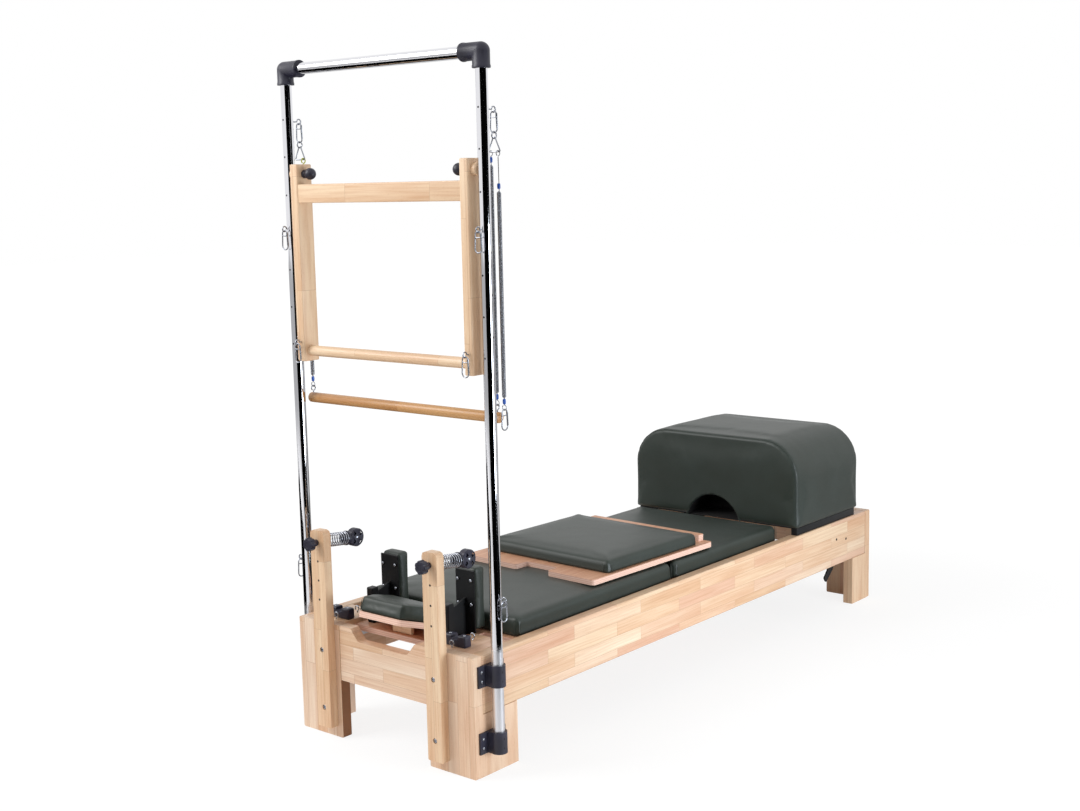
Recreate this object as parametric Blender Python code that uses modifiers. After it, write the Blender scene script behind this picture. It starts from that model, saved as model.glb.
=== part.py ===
# Pilates reformer with tower, in metres, +Z up.
# +Y runs from the head end, where the tower stands, to the foot end, and X runs across.
# The origin is at the middle of the footprint, on the floor.
import math

import bmesh
import bpy
from mathutils import Matrix, Vector

# Left and right, as seen from the head end
SIDES = ((-1, "left"), (1, "right"))

# Clearance between pieces, overlap of links that are one piece, and how far a fused piece stands back
GAP = 0.0003
WELD = 0.0006
FLUSH = 0.0005

# Frame
FRAME_LENGTH = 2.40
FRAME_WIDTH = 0.75
FRAME_HEIGHT = 0.366
RAIL_HEIGHT = 0.176
RAIL_THICKNESS = 0.040
END_BOARD_THICKNESS = 0.035
HEAD_LEG_DEPTH = 0.188
FOOT_LEG_DEPTH = 0.140
HEAD_BOARD_WIDTH = 0.185
FOOT_BOARD_WIDTH = 0.175
WOOD_EDGE = 0.003
CUTOUT_TOP_WIDTH = 0.277
CUTOUT_BASE_WIDTH = 0.213
CUTOUT_DEPTH = 0.039
SHELF_THICKNESS = 0.018
SHELF_WIDTH = 0.130
SHELF_LENGTH = 0.155
PLATFORM_LENGTH = 0.145
BLOCK_X = 0.250
BLOCK_LENGTH = 0.085
BLOCK_DEPTH = 0.030
BLOCK_HEIGHT = 0.035
BLOCK_SETBACK = 0.070
STRAP_EYE_SETBACK = 0.134

# Risers and what they carry
RISER_X = 0.241
RISER_WIDTH = 0.060
RISER_THICKNESS = 0.030
RISER_FOOT = 0.035
RISER_TOP = 0.668
RISER_HOLE_HEIGHTS = (0.570, 0.509, 0.448)
RISER_HOLE_RADIUS = 0.003
RISER_BOLT_HEIGHTS = (0.286, 0.099)
PULLEY_SHAFT_HEIGHT = 0.630
PULLEY_DROOP = math.radians(6.0)
KNOB_REACH = 0.040
KNOB_RADIUS = 0.021
KNOB_THICKNESS = 0.020
RISER_SPRING_RADIUS = 0.020
RISER_SPRING_WIRE = 0.0016
RISER_SPRING_LENGTH = 0.088
RISER_SPRING_CURLS = 7
BLOCK_RADIUS = 0.029
BLOCK_WIDTH = 0.026
SHEAVE_RADIUS = 0.024
SHEAVE_WIDTH = 0.014
SHEAVE_PIN_RADIUS = 0.004

# Tower
TUBE_RADIUS = 0.0175
TUBE_WALL = 0.0015
TUBE_STEPS = 14
TUBE_STANDOFF = 0.030
TUBE_SETBACK = 0.070
TUBE_FOOT = 0.078
CROSSBAR_HEIGHT = 2.074
ELBOW_RADIUS = 0.0265
ELBOW_DROP = 0.046
ELBOW_REACH = 0.068
SOCKET_DEPTH = 0.030
CLAMPS = (("lower", 0.105), ("upper", 0.306))
CLAMP_HEIGHT = 0.065
CLAMP_WIDTH = 0.110
CLAMP_FLANGE = 0.006
CLAMP_WALL = 0.0065
CLAMP_SCREW_SPACING = 0.028

# Screw eyes, snap hooks and rings
EYE_RADIUS = 0.0080
EYE_WIRE = 0.0020
EYE_SHANK = 0.006
EYE_ROOT = 0.001
EYE_SLIT = 0.0015
WOOD_ROOT = 0.007
BACK_EYE_SHANK = 0.0195
HOOK_WIRE = 0.0020
HOOK_LENGTH = 0.060
HOOK_HALF_WIDTH = 0.0125
FRONT_EYE_HEIGHT = 1.590
BACK_EYE_DROP = 0.156
SIDE_EYE_HEIGHT = 0.535
RING_RADIUS = 0.0095
DRING_LENGTH = 0.040
DRING_HALF_WIDTH = 0.0205
FERRULE_RADIUS = 0.0045
FERRULE_LENGTH = 0.012

# Push-through bar
PUSH_X = 0.354
PUSH_THICKNESS = 0.032
PUSH_DEPTH = 0.060
PUSH_PIVOT_DROP = 0.317
PUSH_TOP_RISE = 0.030
PUSH_RAIL_DROP = 0.088
PUSH_RAIL_HEIGHT = 0.057
PUSH_RAIL_THICKNESS = 0.030
PUSH_DOWEL_DROP = 0.545
PUSH_DOWEL_RADIUS = 0.0165
PUSH_EYE_RISE = 0.029
PUSH_FOOT_DROP = 0.032
PUSH_TENON = 0.006
PIVOT_KNOB_RADIUS = 0.018

# Roll-down bar and long springs
BAR_RADIUS = 0.016
BAR_HALF_LENGTH = 0.402
LONG_SPRING_X = 0.391
DROP_SPRING_X = 0.418
LONG_SPRING_RADIUS = 0.0066
LONG_SPRING_CURLS = 7
LONG_SPRING_LENGTH = 0.7163
LONG_LINK_LENGTH = 0.012
SPRING_WIRE = 0.0013
SPRING_RING_RADIUS = 0.0075
SPRING_NECK = 0.004
DROP_LINK_LENGTH = 0.085
DROP_SPRING_LENGTH = 0.7277

# Carriage
CARRIAGE_SIDE_GAP = 0.010
TONGUE_HALF_WIDTH = 0.198
TONGUE_START = 0.074
SHOULDER_START = 0.246
CARRIAGE_END = 1.083
BASE_RISE = 0.050
BASE_THICKNESS = 0.018
PAD_START = 0.2545
PAD_THICKNESS = 0.063
PAD_CROWN = 0.004
TRACK_DEPTH = 0.081
TRACK_THICKNESS = 0.004
TRACK_WIDTH = 0.040
TRACK_DROP = 0.030
TRACK_START = 0.060
TRACK_END_SETBACK = 0.610
WHEEL_RADIUS = 0.022
WHEEL_WIDTH = 0.014
WHEEL_X = 0.310
AXLE_SETBACKS = (0.330, 1.045)
AXLE_RADIUS = 0.005
SPRING_SPACING = 0.10
STOWED_SPRING_RADIUS = 0.009
STOWED_SHANK_RADIUS = 0.004
SPRING_RAIL_SETBACKS = (0.480, 0.990)
SPRING_RAIL_MARGIN = 0.030
SPRING_RAIL_THICKNESS = 0.020
SPRING_RAIL_HEIGHT = 0.034

# Shoulder rests and headrest
SHOULDER_X = 0.163
SHOULDER_PLATE_START = 0.200
SHOULDER_PLATE_WIDTH = 0.077
SHOULDER_PLATE_THICKNESS = 0.005
SHOULDER_PLATE_HEIGHT = 0.203
SHOULDER_PAD_DEPTH = 0.048
SHOULDER_PAD_RISE = 0.019
SHOULDER_PAD_HEIGHT = 0.193
SHOULDER_POST_START = 0.109
SHOULDER_POST_SIZE = 0.028
SHOULDER_POST_HEIGHT = 0.114
SHOULDER_SCREW_HEIGHTS = (0.097, 0.172)
HEADREST_HINGE_Y = 0.186
HEADREST_HINGE_RISE = 0.0095
HEADREST_TILT = math.radians(15.0)
HEADREST_LENGTH = 0.205
HEADREST_FRONT_HALF_WIDTH = 0.088
HEADREST_HALF_WIDTH = 0.138
HEADREST_CHAMFER = 0.085
HEADREST_BOARD_THICKNESS = 0.018
HEADREST_PAD_THICKNESS = 0.050
HEADREST_PAD_INSET = 0.024
HINGE_PLAY = 0.0005
HINGE_HALF_LENGTH = 0.110
PROP_SETBACK = 0.092
PROP_WIDTH = 0.080
PROP_THICKNESS = 0.012

# Foot end
FOOTBAR_PIVOT_SETBACK = 0.235
FOOTBAR_PIVOT_DROP = 0.076
FOOTBAR_LENGTH = 0.310
FOOTBAR_X = 0.298
FOOTBAR_RADIUS = 0.0125
FOOTBAR_BEND = 0.050
FOOTBAR_PIN_RADIUS = 0.008
FOOTBAR_PIN_STEPS = 10
FOOTBAR_HUB_RADIUS = 0.018
FOOTBAR_HUB_LENGTH = 0.026
GRIP_RADIUS = 0.019
GRIP_HALF_LENGTH = 0.200
BRACKET_THICKNESS = 0.005
BRACKET_MARGIN = 0.015
BRACKET_SHOULDER = 0.062
BRACKET_HALF_HEIGHT = 0.028
BRACKET_HOOK_OUTLINE = ((-0.022, -0.115, 0.010), (-0.062, -0.155, 0.004), (-0.046, -0.175, 0.004),
                        (0.010, -0.130, 0.012), (0.024, -0.060, 0.020))
BRACKET_BOLT_SETBACKS = (0.273, 0.196)
SPRING_BAR_SETBACK = 0.340
SPRING_BAR_DROP = 0.154
SPRING_BAR_HEIGHT = 0.030
SPRING_BAR_THICKNESS = 0.006
SPRING_TOOTH_HEIGHT = 0.022
SPRING_TOOTH_WIDTH = 0.016

# Loose pieces
FILLER_GAP = 0.004
FILLER_END_SETBACK = 0.630
JUMP_X = 0.0155
JUMP_START = 0.678
JUMP_LENGTH = 0.662
JUMP_HALF_WIDTH = 0.290
JUMP_THICKNESS = 0.018
JUMP_TURN = math.radians(-2.0)
JUMP_NOTCH_LOW = -0.050
JUMP_NOTCH_HIGH = 0.090
JUMP_NOTCH_DEPTH = 0.055
JUMP_PAD_START = 0.085
JUMP_PAD_LENGTH = 0.510
JUMP_PAD_HALF_WIDTH = 0.282
JUMP_PAD_THICKNESS = 0.046
BATTEN_HALF_WIDTH = 0.252
BATTEN_DEPTH = 0.028
BATTEN_HEIGHT = 0.024
BOX_HALF_WIDTH = 0.380
BOX_SETBACK = 0.588
BOX_DEPTH = 0.490
BOX_HEIGHT = 0.340
BOX_CORNER = 0.150
SKID_HEIGHT = 0.027
SKID_WIDTH = 0.026
ARCH_HALF_WIDTH = 0.124
ARCH_HEIGHT = 0.096
ARCH_DEPTH = 0.150

# Places that follow from the sizes above
KNOB_FRONT = RISER_THICKNESS + KNOB_REACH
HEAD_Y = (KNOB_FRONT - FRAME_LENGTH) / 2
HALF = FRAME_WIDTH / 2
INSIDE = HALF - RAIL_THICKNESS
RAIL_LOW = FRAME_HEIGHT - RAIL_HEIGHT
BOARD_INNER = HALF - HEAD_BOARD_WIDTH
FOOT_BOARD_INNER = HALF - FOOT_BOARD_WIDTH
TUBE_X = HALF + TUBE_STANDOFF
TRACK_END = FRAME_LENGTH - TRACK_END_SETBACK
FOOTBAR_PIVOT_Y = FRAME_LENGTH - FOOTBAR_PIVOT_SETBACK
SPRING_BAR_Y = FRAME_LENGTH - SPRING_BAR_SETBACK
FILLER_START = CARRIAGE_END + FILLER_GAP
FILLER_END = FRAME_LENGTH - FILLER_END_SETBACK
BOX_START = FRAME_LENGTH - BOX_SETBACK
BACK_EYE_HEIGHT = CROSSBAR_HEIGHT - BACK_EYE_DROP
PUSH_PIVOT_HEIGHT = CROSSBAR_HEIGHT - PUSH_PIVOT_DROP
PUSH_TOP = PUSH_PIVOT_HEIGHT + PUSH_TOP_RISE
PUSH_RAIL_LOW = PUSH_PIVOT_HEIGHT - PUSH_RAIL_DROP
PUSH_DOWEL_HEIGHT = PUSH_PIVOT_HEIGHT - PUSH_DOWEL_DROP
PUSH_EYE_HEIGHT = PUSH_DOWEL_HEIGHT + PUSH_EYE_RISE
PUSH_FOOT = PUSH_DOWEL_HEIGHT - PUSH_FOOT_DROP
TUBE_TOP = CROSSBAR_HEIGHT - ELBOW_DROP + SOCKET_DEPTH - GAP
CROSSBAR_HALF_LENGTH = TUBE_X - ELBOW_REACH + SOCKET_DEPTH - GAP
CARRIAGE_HALF_WIDTH = INSIDE - CARRIAGE_SIDE_GAP
TRACK_TOP = FRAME_HEIGHT - TRACK_DEPTH
BASE_LOW = TRACK_TOP + BASE_RISE
BASE_TOP = BASE_LOW + BASE_THICKNESS
PAD_TOP = BASE_TOP + PAD_THICKNESS
SHOULDER_PLATE_TOP = BASE_TOP + SHOULDER_PLATE_HEIGHT
SHOULDER_POST_TOP = BASE_TOP + SHOULDER_POST_HEIGHT
SHOULDER_PAD_LOW = BASE_TOP + SHOULDER_PAD_RISE
FOOTBAR_PIVOT_HEIGHT = FRAME_HEIGHT - FOOTBAR_PIVOT_DROP
SPRING_BAR_LOW = FRAME_HEIGHT - SPRING_BAR_DROP
AXLE_HEIGHT = TRACK_TOP + WHEEL_RADIUS + GAP
BOX_LOW = FRAME_HEIGHT + SKID_HEIGHT + GAP
JUMP_LOW = PAD_TOP + PAD_CROWN + GAP
HINGE_Z = BASE_TOP + HEADREST_HINGE_RISE
EYE_REACH = TUBE_RADIUS + EYE_SHANK + EYE_RADIUS
SKID_X = HALF - RAIL_THICKNESS / 2
SPRING_XS = [SPRING_SPACING * i for i in (-2, -1, 0, 1, 2)]

# Finishes: colour, roughness, metallic
FINISHES = {
    "beech": ((0.78, 0.52, 0.30), 0.45, 0.0),
    "ply": ((0.74, 0.50, 0.38), 0.50, 0.0),
    "chrome": ((0.75, 0.75, 0.78), 0.12, 1.0),
    "steel": ((0.62, 0.63, 0.66), 0.30, 1.0),
    "aluminium": ((0.70, 0.71, 0.72), 0.35, 1.0),
    "black_plastic": ((0.025, 0.023, 0.032), 0.45, 0.0),
    "black_steel": ((0.020, 0.021, 0.024), 0.40, 0.5),
    "leatherette": ((0.045, 0.055, 0.045), 0.55, 0.0),
    "foam": ((0.03, 0.03, 0.03), 0.85, 0.0),
}

# Empty scene and collections
for old in list(bpy.data.objects):
    bpy.data.objects.remove(old, do_unlink=True)


def new_collection(name):
    collection = bpy.data.collections.new(name)
    bpy.context.scene.collection.children.link(collection)
    return collection


PARTS = new_collection("pilates_reformer_with_tower")
CUTTERS = new_collection("cutters")


# Helpers for objects
def new_finish(name, finish):
    colour, roughness, metallic = FINISHES[finish]
    material = bpy.data.materials.new(f"{name}_{finish}")
    material.use_nodes = True
    shader = material.node_tree.nodes["Principled BSDF"]
    shader.inputs["Base Color"].default_value = (*colour, 1.0)
    shader.inputs["Roughness"].default_value = roughness
    shader.inputs["Metallic"].default_value = metallic
    return material


def add_object(name, data, finish):
    obj = bpy.data.objects.new(name, data)
    PARTS.objects.link(obj)
    data.materials.append(new_finish(name, finish))
    return obj


def place(x, y, z):
    """World place of a point whose y is counted from the head face of the frame."""
    return Vector((x, HEAD_Y + y, z))


def add_pivot(name, location, tilt=0.0, axis="X"):
    """Empty on a joint's axis; what rides on it is laid out unturned, and its turn tilts it."""
    pivot = bpy.data.objects.new(name, None)
    PARTS.objects.link(pivot)
    pivot.location = location
    pivot.rotation_euler = Matrix.Rotation(tilt, 3, axis).to_euler()
    return pivot


def ride(obj, pivot):
    """Carries an object, and the tools of its Booleans, on a pivot."""
    obj.parent = pivot
    obj.matrix_parent_inverse = Matrix.Translation(-Vector(pivot.location))
    for modifier in obj.modifiers:
        if modifier.type == "BOOLEAN":
            ride(modifier.object, pivot)
    return obj


def soften(obj, width, segments=1):
    bevel = obj.modifiers.new("edges", "BEVEL")
    bevel.width = width
    bevel.segments = segments
    bevel.limit_method = "ANGLE"
    bevel.angle_limit = math.radians(40)
    return obj


def smooth(mesh, angle=40.0):
    mesh.shade_smooth()
    mesh.set_sharp_from_angle(angle=math.radians(angle))


def box(name, low, high, finish, edge=0.0):
    """Box between two corners, given with y from the head face."""
    low, high = place(*low), place(*high)
    mesh = bpy.data.meshes.new(name)
    shape = bmesh.new()
    bmesh.ops.create_cube(shape, size=1.0)
    bmesh.ops.scale(shape, vec=high - low, verts=shape.verts)
    shape.to_mesh(mesh)
    shape.free()
    obj = add_object(name, mesh, finish)
    obj.location = (low + high) / 2
    if edge:
        soften(obj, edge)
    return obj


AXIS_TURNS = {"X": (0.0, math.pi / 2, 0.0), "Y": (-math.pi / 2, 0.0, 0.0), "Z": (0.0, 0.0, 0.0)}


def turned(name, profile, centre, axis, finish, steps=20, closed=False):
    """Turned shape: (radius, height) pairs down the outer side, heights along the axis."""
    mesh = bpy.data.meshes.new(name)
    points = [(radius, 0.0, height) for radius, height in profile]
    edges = [(i, i + 1) for i in range(len(points) - 1)]
    if closed:
        edges.append((len(points) - 1, 0))
    mesh.from_pydata(points, edges, [])
    obj = add_object(name, mesh, finish)
    obj.location = centre
    obj.rotation_euler = AXIS_TURNS[axis]
    screw = obj.modifiers.new("turn", "SCREW")
    screw.steps = steps
    screw.render_steps = steps
    screw.use_merge_vertices = True
    screw.merge_threshold = 0.00001
    screw.use_smooth_shade = True
    return obj


def rod(name, radius, low, high, centre, axis, finish, steps=20):
    profile = [(0.0, high), (radius, high), (radius, low), (0.0, low)]
    return turned(name, profile, centre, axis, finish, steps)


def sleeve(name, radius, bore, low, high, centre, axis, finish, steps=20):
    profile = [(radius, high), (radius, low), (bore, low), (bore, high)]
    return turned(name, profile, centre, axis, finish, steps, closed=True)


def tube(name, points, radius, finish, resolution=1, cyclic=False):
    """Round bar or wire along points in the layout's own places."""
    origin = points[0].copy()
    curve = bpy.data.curves.new(name, "CURVE")
    curve.dimensions = "3D"
    spline = curve.splines.new("POLY")
    spline.points.add(len(points) - 1)
    for target, point in zip(spline.points, points):
        target.co = (*(point - origin), 1.0)
    spline.use_cyclic_u = cyclic
    curve.bevel_depth = radius
    curve.bevel_resolution = resolution
    curve.use_fill_caps = not cyclic
    obj = add_object(name, curve, finish)
    obj.location = origin
    return obj


# Planes of flat outlines: how the curve's X, Y and thickness lie in the layout
PLANES = {
    "XY": Matrix(((1, 0, 0), (0, 1, 0), (0, 0, 1))),
    "XZ": Matrix(((1, 0, 0), (0, 0, -1), (0, 1, 0))),
    "YZ": Matrix(((0, 0, 1), (1, 0, 0), (0, 1, 0))),
}


def plate(name, outline, thickness, centre, plane, finish, holes=()):
    """Flat outline given a thickness, its outline's zero at centre."""
    curve = bpy.data.curves.new(name, "CURVE")
    curve.dimensions = "2D"
    curve.fill_mode = "BOTH"
    curve.extrude = thickness / 2
    for loop in (outline, *holes):
        spline = curve.splines.new("POLY")
        spline.points.add(len(loop) - 1)
        for target, (u, v) in zip(spline.points, loop):
            target.co = (u, v, 0.0, 1.0)
        spline.use_cyclic_u = True
    obj = add_object(name, curve, finish)
    obj.location = centre
    obj.rotation_euler = PLANES[plane].to_euler()
    return obj


def circle(radius, steps, centre=(0.0, 0.0)):
    turns = [2 * math.pi * i / steps for i in range(steps)]
    return [(centre[0] + radius * math.cos(a), centre[1] + radius * math.sin(a)) for a in turns]


def rounded(corners, radius, steps=3):
    """Outline with each corner rounded; a corner may carry a radius of its own."""
    outline = []
    count = len(corners)
    for i, corner in enumerate(corners):
        size = corner[2] if len(corner) > 2 else radius
        here = Vector(corner[:2])
        before = (Vector(corners[i - 1][:2]) - here).normalized()
        after = (Vector(corners[(i + 1) % count][:2]) - here).normalized()
        half = before.angle(after) / 2
        if size == 0.0:
            outline.append(tuple(here))
            continue
        start = here + before * size / math.tan(half)
        middle = here + (before + after).normalized() * size / math.sin(half)
        arm = start - middle
        sweep = math.pi - 2 * half
        side = 1.0 if before.cross(after) < 0 else -1.0
        for k in range(steps + 1):
            turn = Matrix.Rotation(side * sweep * k / steps, 2)
            outline.append(tuple(middle + turn @ arm))
    return outline


def to_mesh(obj):
    """The same object as a plain mesh, a tube's skewed faces made flat, with its caps made real."""
    bpy.context.view_layer.update()
    graph = bpy.context.evaluated_depsgraph_get()
    mesh = bpy.data.meshes.new_from_object(obj.evaluated_get(graph))
    shape = bmesh.new()
    shape.from_mesh(mesh)
    bmesh.ops.remove_doubles(shape, verts=shape.verts, dist=0.00001)
    if obj.type == "CURVE" and obj.data.dimensions == "3D":
        bmesh.ops.triangulate(shape, faces=shape.faces)
    shape.to_mesh(mesh)
    shape.free()
    name = obj.name
    solid = bpy.data.objects.new(f"{name}_solid", mesh)
    PARTS.objects.link(solid)
    solid.matrix_world = obj.matrix_world
    bpy.data.objects.remove(obj, do_unlink=True)
    solid.name = name
    return solid


def combine(target, tool, operation):
    """Boolean of two meshes; the tool becomes a cutter that the model leaves out."""
    if tool.type == "CURVE":
        tool = to_mesh(tool)
    boolean = target.modifiers.new(operation.lower(), "BOOLEAN")
    boolean.operation = operation
    boolean.solver = "EXACT"
    boolean.use_hole_tolerant = True
    boolean.object = tool
    PARTS.objects.unlink(tool)
    CUTTERS.objects.link(tool)
    tool.hide_render = True
    tool.display_type = "WIRE"
    return target


def fuse(target, *tools):
    if target.type == "CURVE":
        target = to_mesh(target)
    for tool in tools:
        combine(target, tool, "UNION")
    return target


def cut(target, *tools):
    if target.type == "CURVE":
        target = to_mesh(target)
    for tool in tools:
        combine(target, tool, "DIFFERENCE")
    return target


def cushion(name, low, high, finish, crown, draw, edge=0.016, cells=(4, 4), narrow=None):
    """Crowned pad, flat below and drawn in between its corners; narrow tapers its near end."""
    low, high = place(*low), place(*high)
    size = high - low
    mesh = bpy.data.meshes.new(name)
    shape = bmesh.new()
    bmesh.ops.create_cube(shape, size=1.0)
    bmesh.ops.scale(shape, vec=size, verts=shape.verts)
    loops = []
    for axis in (0, 1):
        inner = size[axis] / 2 - edge
        count = cells[axis] - 2
        for i in range(count + 1):
            loops.append((axis, -inner + 2 * inner * i / count))
    rise = min(edge * 0.8, size.z * 0.35)
    loops.append((2, size.z / 2 - rise))
    for axis, offset in loops:
        normal = Vector((0, 0, 0))
        normal[axis] = 1.0
        spot = Vector((0, 0, 0))
        spot[axis] = offset
        everything = shape.verts[:] + shape.edges[:] + shape.faces[:]
        bmesh.ops.bisect_plane(shape, geom=everything, plane_co=spot, plane_no=normal)
    crease = shape.edges.layers.float.new("crease_edge")
    for side in shape.edges:
        if all(vert.co.z < 0.001 - size.z / 2 for vert in side.verts):
            side[crease] = 1.0
    for vert in shape.verts:
        across = 1 - (2 * vert.co.x / size.x) ** 2
        along = 1 - (2 * vert.co.y / size.y) ** 2
        up = vert.co.z / size.z + 0.5
        if up > 0.99:
            vert.co.z += crown * across * along
        if abs(vert.co.x) > size.x / 2 - 0.0001 and 0.01 < up:
            vert.co.x -= math.copysign(draw * along, vert.co.x)
        if abs(vert.co.y) > size.y / 2 - 0.0001 and 0.01 < up:
            vert.co.y -= math.copysign(draw * across, vert.co.y)
        if narrow:
            share = min(1.0, (vert.co.y + size.y / 2) / narrow[1])
            vert.co.x *= narrow[0] + (1 - narrow[0]) * share
    shape.to_mesh(mesh)
    shape.free()
    smooth(mesh)
    obj = add_object(name, mesh, finish)
    obj.location = (low + high) / 2
    subdivision = obj.modifiers.new("soften", "SUBSURF")
    subdivision.levels = 1
    subdivision.render_levels = 1
    bpy.context.view_layer.update()
    made = obj.evaluated_get(bpy.context.evaluated_depsgraph_get()).data
    height = max(vert.co.z for vert in made.vertices) + size.z / 2
    for vert in mesh.vertices:
        vert.co.z = (vert.co.z + size.z / 2) * (size.z + crown) / height - size.z / 2
    return obj


def coil(start, end, radius, wire, curls, side, points_per_curl=8):
    """Points of a coil from its side direction on; its wire runs straight for one diameter at both ends."""
    line = end - start
    along = line.normalized()
    up = along.cross(side)
    lead = along * 2 * wire
    total = curls * points_per_curl
    points = [start + side * radius]
    for i in range(total + 1):
        turn = 2 * math.pi * i / points_per_curl
        offset = side * math.cos(turn) + up * math.sin(turn)
        points.append(start + lead + (line - 2 * lead) * i / total + offset * radius)
    points.append(end + side * radius)
    return points


def least_gap(points, wire, skip):
    """Least clear distance of a wire to its own next curls."""
    least = 1.0
    for i in range(len(points) - skip):
        for j in range(i + skip, min(i + 3 * skip, len(points))):
            least = min(least, (points[i] - points[j]).length - 2 * wire)
    return least


def eye_points(seat, outwards, upright, shank, radius, wire):
    """Wire of a screw eye: a straight shank, then a ring that stops just short of it."""
    neck = seat + outwards * shank
    middle = neck + outwards * radius
    closing = 2 * math.asin((2 * wire + EYE_SLIT) / (2 * radius))
    points = [seat, neck]
    steps = 9
    for i in range(1, steps + 1):
        turn = (2 * math.pi - closing) * i / steps
        points.append(middle - outwards * radius * math.cos(turn) + upright * radius * math.sin(turn))
    return points


def screw_eye(name, seat, outwards, upright, shank=EYE_SHANK, root=EYE_ROOT):
    """Screw eye with its root inside what carries it; gives the eye and its ring's middle."""
    outwards, upright = Vector(outwards), Vector(upright)
    points = eye_points(seat - outwards * root, outwards, upright, shank + root, EYE_RADIUS, EYE_WIRE)
    return tube(name, points, EYE_WIRE, "steel", 0), seat + outwards * (shank + EYE_RADIUS)


def loop(name, top, length, half_width, across, foot_half_width=None):
    """Closed link that hangs from its top, in the plane of across and Z."""
    across = Vector(across)
    foot = half_width if foot_half_width is None else foot_half_width
    steps = 3
    flat = math.sin(math.pi / steps)
    points = []
    for i in range(steps + 1):
        turn = math.pi * i / steps
        points.append(top + across * half_width * math.cos(turn)
                      + Vector((0, 0, half_width * (math.sin(turn) / flat - 1))))
    for i in range(steps + 1):
        turn = math.pi * i / steps
        points.append(top - across * foot * math.cos(turn)
                      + Vector((0, 0, foot * (1 - math.sin(turn) / flat) - length)))
    return tube(name, points, HOOK_WIRE, "steel", 0, cyclic=True)


def linked(bottom):
    """Top of a link that is one with the foot of the link above it."""
    return bottom + Vector((0, 0, 2 * HOOK_WIRE - WELD))


def eye_hang(middle):
    """Top of a hook that hangs on the lower rim of a screw eye."""
    return middle - Vector((0, 0, EYE_RADIUS - EYE_WIRE - HOOK_WIRE - GAP))


def snap_hook(name, top, across):
    """Snap hook: an egg-shaped ring and the nut that closes its side."""
    across = Vector(across)
    head, foot = HOOK_HALF_WIDTH * 0.85, HOOK_HALF_WIDTH
    ring = loop(name, top, HOOK_LENGTH, head, across, foot)
    side = across * (head + foot) / 2 - Vector((0, 0, HOOK_LENGTH / 2))
    half = HOOK_LENGTH * 0.13
    nut = rod(f"{name}_nut", HOOK_WIRE * 1.9, -half, half, top + side, "Z", "steel", 6)
    lean = Vector((0, 0, -1)) * HOOK_LENGTH + across * (foot - head)
    nut.rotation_euler = Vector((0, 0, -1)).rotation_difference(lean).to_euler()
    return fuse(ring, nut)


# Frame
def build_frame():
    for side, name in SIDES:
        inner, outer = sorted((side * INSIDE, side * HALF))
        box(f"side_rail_{name}", (inner, END_BOARD_THICKNESS + GAP, RAIL_LOW),
            (outer, FRAME_LENGTH - END_BOARD_THICKNESS - GAP, FRAME_HEIGHT), "beech", WOOD_EDGE)
        strap_shelf(side, name)
        wheel_track(side, name)
    end_frame("head_frame", 0.0, HEAD_LEG_DEPTH, BOARD_INNER)
    foot = end_frame("foot_frame", FRAME_LENGTH - END_BOARD_THICKNESS, FOOT_LEG_DEPTH, FOOT_BOARD_INNER)
    lap = FRAME_LENGTH - END_BOARD_THICKNESS / 2
    shelf = box("foot_platform", (-INSIDE + GAP, lap - PLATFORM_LENGTH, FRAME_HEIGHT - SHELF_THICKNESS),
                (INSIDE - GAP, lap, FRAME_HEIGHT - 2 * FLUSH), "beech")
    fuse(foot, shelf)


def end_frame(name, start, leg_depth, inner):
    """End board with its two legs; each leg has a side board under its rail."""
    corners = [(-HALF, 0.0, 0.004), (-inner, 0.0, 0.004), (-inner, RAIL_LOW, 0.002), (inner, RAIL_LOW, 0.002),
               (inner, 0.0, 0.004), (HALF, 0.0, 0.004), (HALF, FRAME_HEIGHT, 0.004)]
    if start == 0.0:
        top, base = CUTOUT_TOP_WIDTH / 2, CUTOUT_BASE_WIDTH / 2
        floor = FRAME_HEIGHT - CUTOUT_DEPTH
        corners += [(top, FRAME_HEIGHT, 0.006), (base, floor, 0.016), (-base, floor, 0.016),
                    (-top, FRAME_HEIGHT, 0.006)]
    corners.append((-HALF, FRAME_HEIGHT, 0.004))
    middle = place(0, start + END_BOARD_THICKNESS / 2, 0)
    board = plate(name, rounded(corners, 0.0, 2), END_BOARD_THICKNESS, middle, "XZ", "beech")
    lap = start + END_BOARD_THICKNESS / 2
    near, far = (lap, leg_depth) if start == 0.0 else (FRAME_LENGTH - leg_depth, lap)
    braces = []
    for side, word in SIDES:
        low, high = sorted((side * INSIDE, side * (HALF - FLUSH)))
        braces.append(box(f"{name}_brace_{word}", (low, near, FLUSH), (high, far, RAIL_LOW - GAP), "beech"))
    return fuse(board, *braces)


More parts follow.
